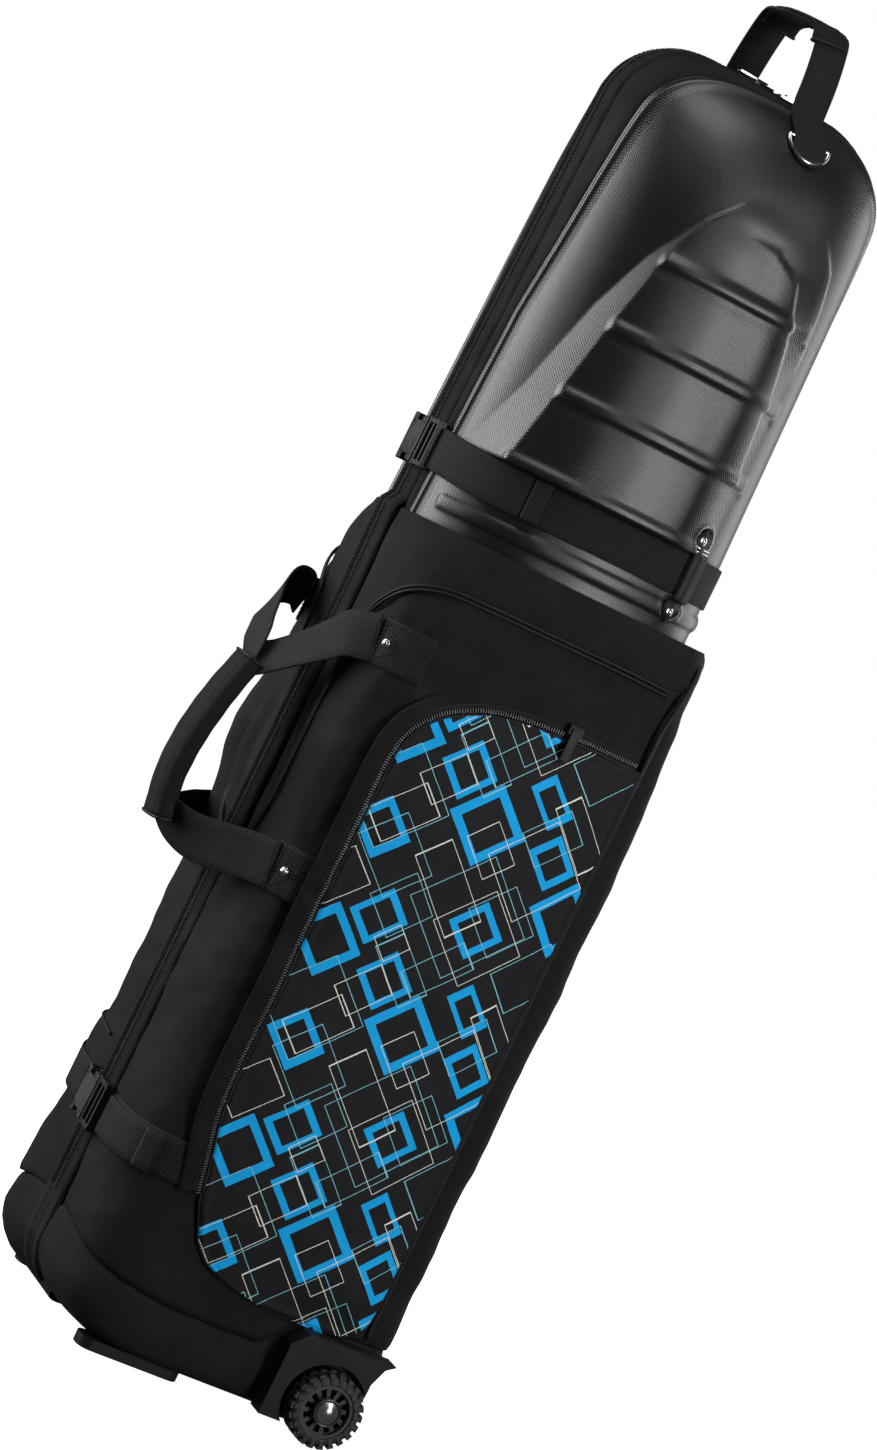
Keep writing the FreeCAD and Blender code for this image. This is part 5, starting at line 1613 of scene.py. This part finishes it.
def wheel_parts(side, way, body):
    """Tyre with its treads, bright hub cap and raised rings; way is the wheel's side."""
    centre = (0.0, WHEEL_Y, WHEEL_Z)
    tyre = Parts()
    tyre.lathe([(152.4, 24.8), (153.0, 29.0), (154.6, 31.4), (157.5, 32.6), (165.5, 33.0),
                (173.5, 32.6), (176.4, 31.4), (178.0, 29.0), (178.6, 24.8), (175.0, 24.4),
                (156.0, 24.4), (152.4, 24.8)], centre, 72, way)
    for k in range(22):
        turn = math.tau * k / 22
        for x, shift in ((160.2, 0.0), (172.4, math.tau / 44)):
            a = turn + shift
            spin = np.array([(1, 0, 0), (0, math.cos(a), -math.sin(a)),
                             (0, math.sin(a), math.cos(a))])
            place = np.array([way * x, WHEEL_Y, WHEEL_Z]) + spin @ np.array([0, 33.1, 0])
            tyre.box(place, (10.4, 3.4, 6.2), spin)
            face = np.array([way * 178.1, WHEEL_Y, WHEEL_Z]) + spin @ np.array([0, 28.6, 0])
            if x > 170:
                tyre.box(face, (1.6, 6.4, 4.2), spin)
    soften(tyre.build("tyre_tread_" + side, body, RUBBER, slot="wheel_rubber",
                      replaces=["tyre_" + side], smooth_shade=False), 0.7, 2)
    cap = Parts()
    cap.lathe([(179.1, 10.4), (180.2, 10.4), (180.8, 9.7), (181.0, 8.3), (182.0, 6.6),
               (182.7, 4.2), (183.0, 2.0), (183.05, 0.05)], centre, 48, way)
    cap.build("hub_cap_dome_" + side, body, CHROME, slot="chrome", replaces=["hub_cap_" + side])
    rings = Parts()
    for x, radius, thick in ((173.6, 22.6, 1.2), (179.2, 12.0, 1.3)):
        turns = np.linspace(0, math.tau, 61)
        rings.tube([(way * x, WHEEL_Y + radius * math.cos(t), WHEEL_Z + radius * math.sin(t))
                    for t in turns], thick, 8, guide=(1.0, 0.0, 0.0))
    rings.build("hub_rings_" + side, body, WHEEL, slot="wheel_plastic")


wheel_parts("near", 1.0, "wheel_near")
wheel_parts("far", -1.0, "wheel_far")

for name, width in (("wheel_housing_near", 6.0), ("wheel_housing_far", 6.0), ("foot_near", 2.4),
                    ("foot_far", 2.4), ("hub_near", 0.8), ("hub_far", 0.8),
                    ("main_slider_front", 1.3), ("main_slider_back", 1.3),
                    ("main_pull_front", 0.6), ("main_pull_back", 0.6), ("pocket_slider", 1.2),
                    ("pocket_pull", 0.6), ("base_board", 0.8)):
    soften(frame["nodes"][name], width, 3)


# ---------------------------------------------------------------- inside the case

def cushion(name, body, way, node):
    """A lining pad: foam under cloth, quilted by two lines across it."""
    rows, columns = 60, 30
    y = np.linspace(-79.0, 114.0, columns)
    z = np.linspace(111.0, 694.0, rows)
    yy, zz = np.meshgrid(y, z)
    edge = np.minimum.reduce([yy + 79.0, 114.0 - yy, zz - 111.0, 694.0 - zz])
    puff = 7.6 * np.sqrt(np.clip(edge / 14.0, 0.02, 1.0))
    puff -= 1.6 * sum(bump(zz - quilt_z, 5.0) for quilt_z in (305, 500))
    wall = 134.4
    front = np.stack([way * (wall - puff), yy, zz], -1)
    back = np.stack([np.full_like(puff, way * wall), yy, zz], -1)
    parts = Parts()
    faces = grid_faces(rows, columns)
    flip = [tuple(reversed(f)) for f in faces]
    parts.add(front, flip if way > 0 else faces, np.stack([yy, zz], -1))
    parts.add(back, faces if way > 0 else flip, np.stack([yy, zz], -1))
    parts.build(name, body, LINING, slot="foam_lining", replaces=[node])


cushion("foam_pad_near_soft", NEAR, 1.0, "foam_pad_near")
cushion("foam_pad_far_soft", ROOT, -1.0, "foam_pad_far")

inner = Parts()
for z in (319.0, 619.0):
    line = np.array([(-124.6 + 1.4 * math.cos(y / 26.0), y, z) for y in np.arange(-98.0, 99.0, 4.0)])
    across, normal = strap_sides(line, np.tile((1.0, 0.0, 0.0), (len(line), 1)))
    inner.sweep(line, across, normal, strap_profile(38.0, 2.0))
inner.build("inner_tie_straps", ROOT, WEBBING, slot="webbing", replaces=["inner_straps"])


# ---------------------------------------------------------------- stage, light and camera

floor_finish = bpy.data.materials.new("floor_finish")
floor_finish.use_nodes = True
for socket, value in (("Base Color", (0.9, 0.9, 0.9, 1.0)), ("Roughness", 0.9),
                      ("Specular IOR Level", 0.1), ("Emission Color", (1, 1, 1, 1)),
                      ("Emission Strength", 1.0)):
    floor_finish.node_tree.nodes["Principled BSDF"].inputs[socket].default_value = value

floor_mesh = bpy.data.meshes.new("floor")
floor_mesh.from_pydata([(-9, -9, -0.0005), (9, -9, -0.0005), (9, 9, -0.0005), (-9, 9, -0.0005)], [],
                       [(0, 1, 2, 3)])
floor = bpy.data.objects.new("floor", floor_mesh)
bpy.context.scene.collection.objects.link(floor)
floor_mesh.materials.append(floor_finish)
floor.visible_diffuse = False
floor.visible_glossy = False

world = bpy.data.worlds.new("studio")
bpy.context.scene.world = world
world.use_nodes = True
tree = world.node_tree
seen = tree.nodes.new("ShaderNodeBackground")
lit = tree.nodes["Background"]
seen.inputs["Color"].default_value = (1, 1, 1, 1)
seen.inputs["Strength"].default_value = 1.0
lit.inputs["Color"].default_value = (1, 1, 1, 1)
lit.inputs["Strength"].default_value = 0.09
rays = tree.nodes.new("ShaderNodeLightPath")
switch = tree.nodes.new("ShaderNodeMixShader")
tree.links.new(rays.outputs["Is Camera Ray"], switch.inputs["Fac"])
tree.links.new(lit.outputs[0], switch.inputs[1])
tree.links.new(seen.outputs[0], switch.inputs[2])
tree.links.new(switch.outputs[0], tree.nodes["World Output"].inputs["Surface"])

VIEW_TURN = math.radians(22.14)
VIEW_DISTANCE = 3.708
VIEW_HEIGHT = 0.7575
VIEW_ROLL = math.radians(25.90)
VIEW_SHIFT = (-0.0564, -0.0872)
SENSOR = 36.0
LENS = 100.5393
ORIGIN_Y = CENTRE_Y * 0.001


def from_camera(right, up, depth):
    """A point given across the camera's view, by height, and towards the camera."""
    x = right * math.sin(VIEW_TURN) + depth * math.cos(VIEW_TURN)
    y = right * math.cos(VIEW_TURN) - depth * math.sin(VIEW_TURN)
    return Vector((x, y + ORIGIN_Y, up))


def soft_light(name, place, target, size, power):
    """A white rectangular light that faces the target."""
    lamp = bpy.data.lights.new(name, "AREA")
    lamp.shape = "RECTANGLE"
    lamp.size, lamp.size_y = size
    lamp.energy = power
    obj = bpy.data.objects.new(name, lamp)
    bpy.context.scene.collection.objects.link(obj)
    obj.location = place
    obj.rotation_euler = (target - place).to_track_quat("-Z", "Y").to_euler()


middle = from_camera(0.0, 0.75, 0.0)
soft_light("side_bank", from_camera(-2.3, 1.1, -0.15), middle, (1.7, 2.3), 78.0)
soft_light("front_strip", from_camera(1.65, 1.15, 1.7), middle, (0.5, 2.3), 46.0)
soft_light("back_strip", from_camera(1.75, 1.1, -1.5), middle, (1.1, 2.3), 22.0)
soft_light("top", from_camera(-0.3, 3.2, 0.9), middle, (1.4, 1.4), 26.0)

camera_data = bpy.data.cameras.new("camera")
camera_data.sensor_width = SENSOR
camera_data.lens = LENS
camera = bpy.data.objects.new("camera", camera_data)
bpy.context.scene.collection.objects.link(camera)
camera.location = from_camera(0.0, VIEW_HEIGHT, VIEW_DISTANCE)
level = Vector((-math.cos(VIEW_TURN), math.sin(VIEW_TURN), 0.0)).to_track_quat("-Z", "Y").to_matrix()
camera.rotation_euler = (level @ Matrix.Rotation(VIEW_ROLL, 3, "Z")).to_euler()
camera_data.shift_x, camera_data.shift_y = VIEW_SHIFT
bpy.context.scene.camera = camera
bpy.context.scene.view_settings.view_transform = "Standard"
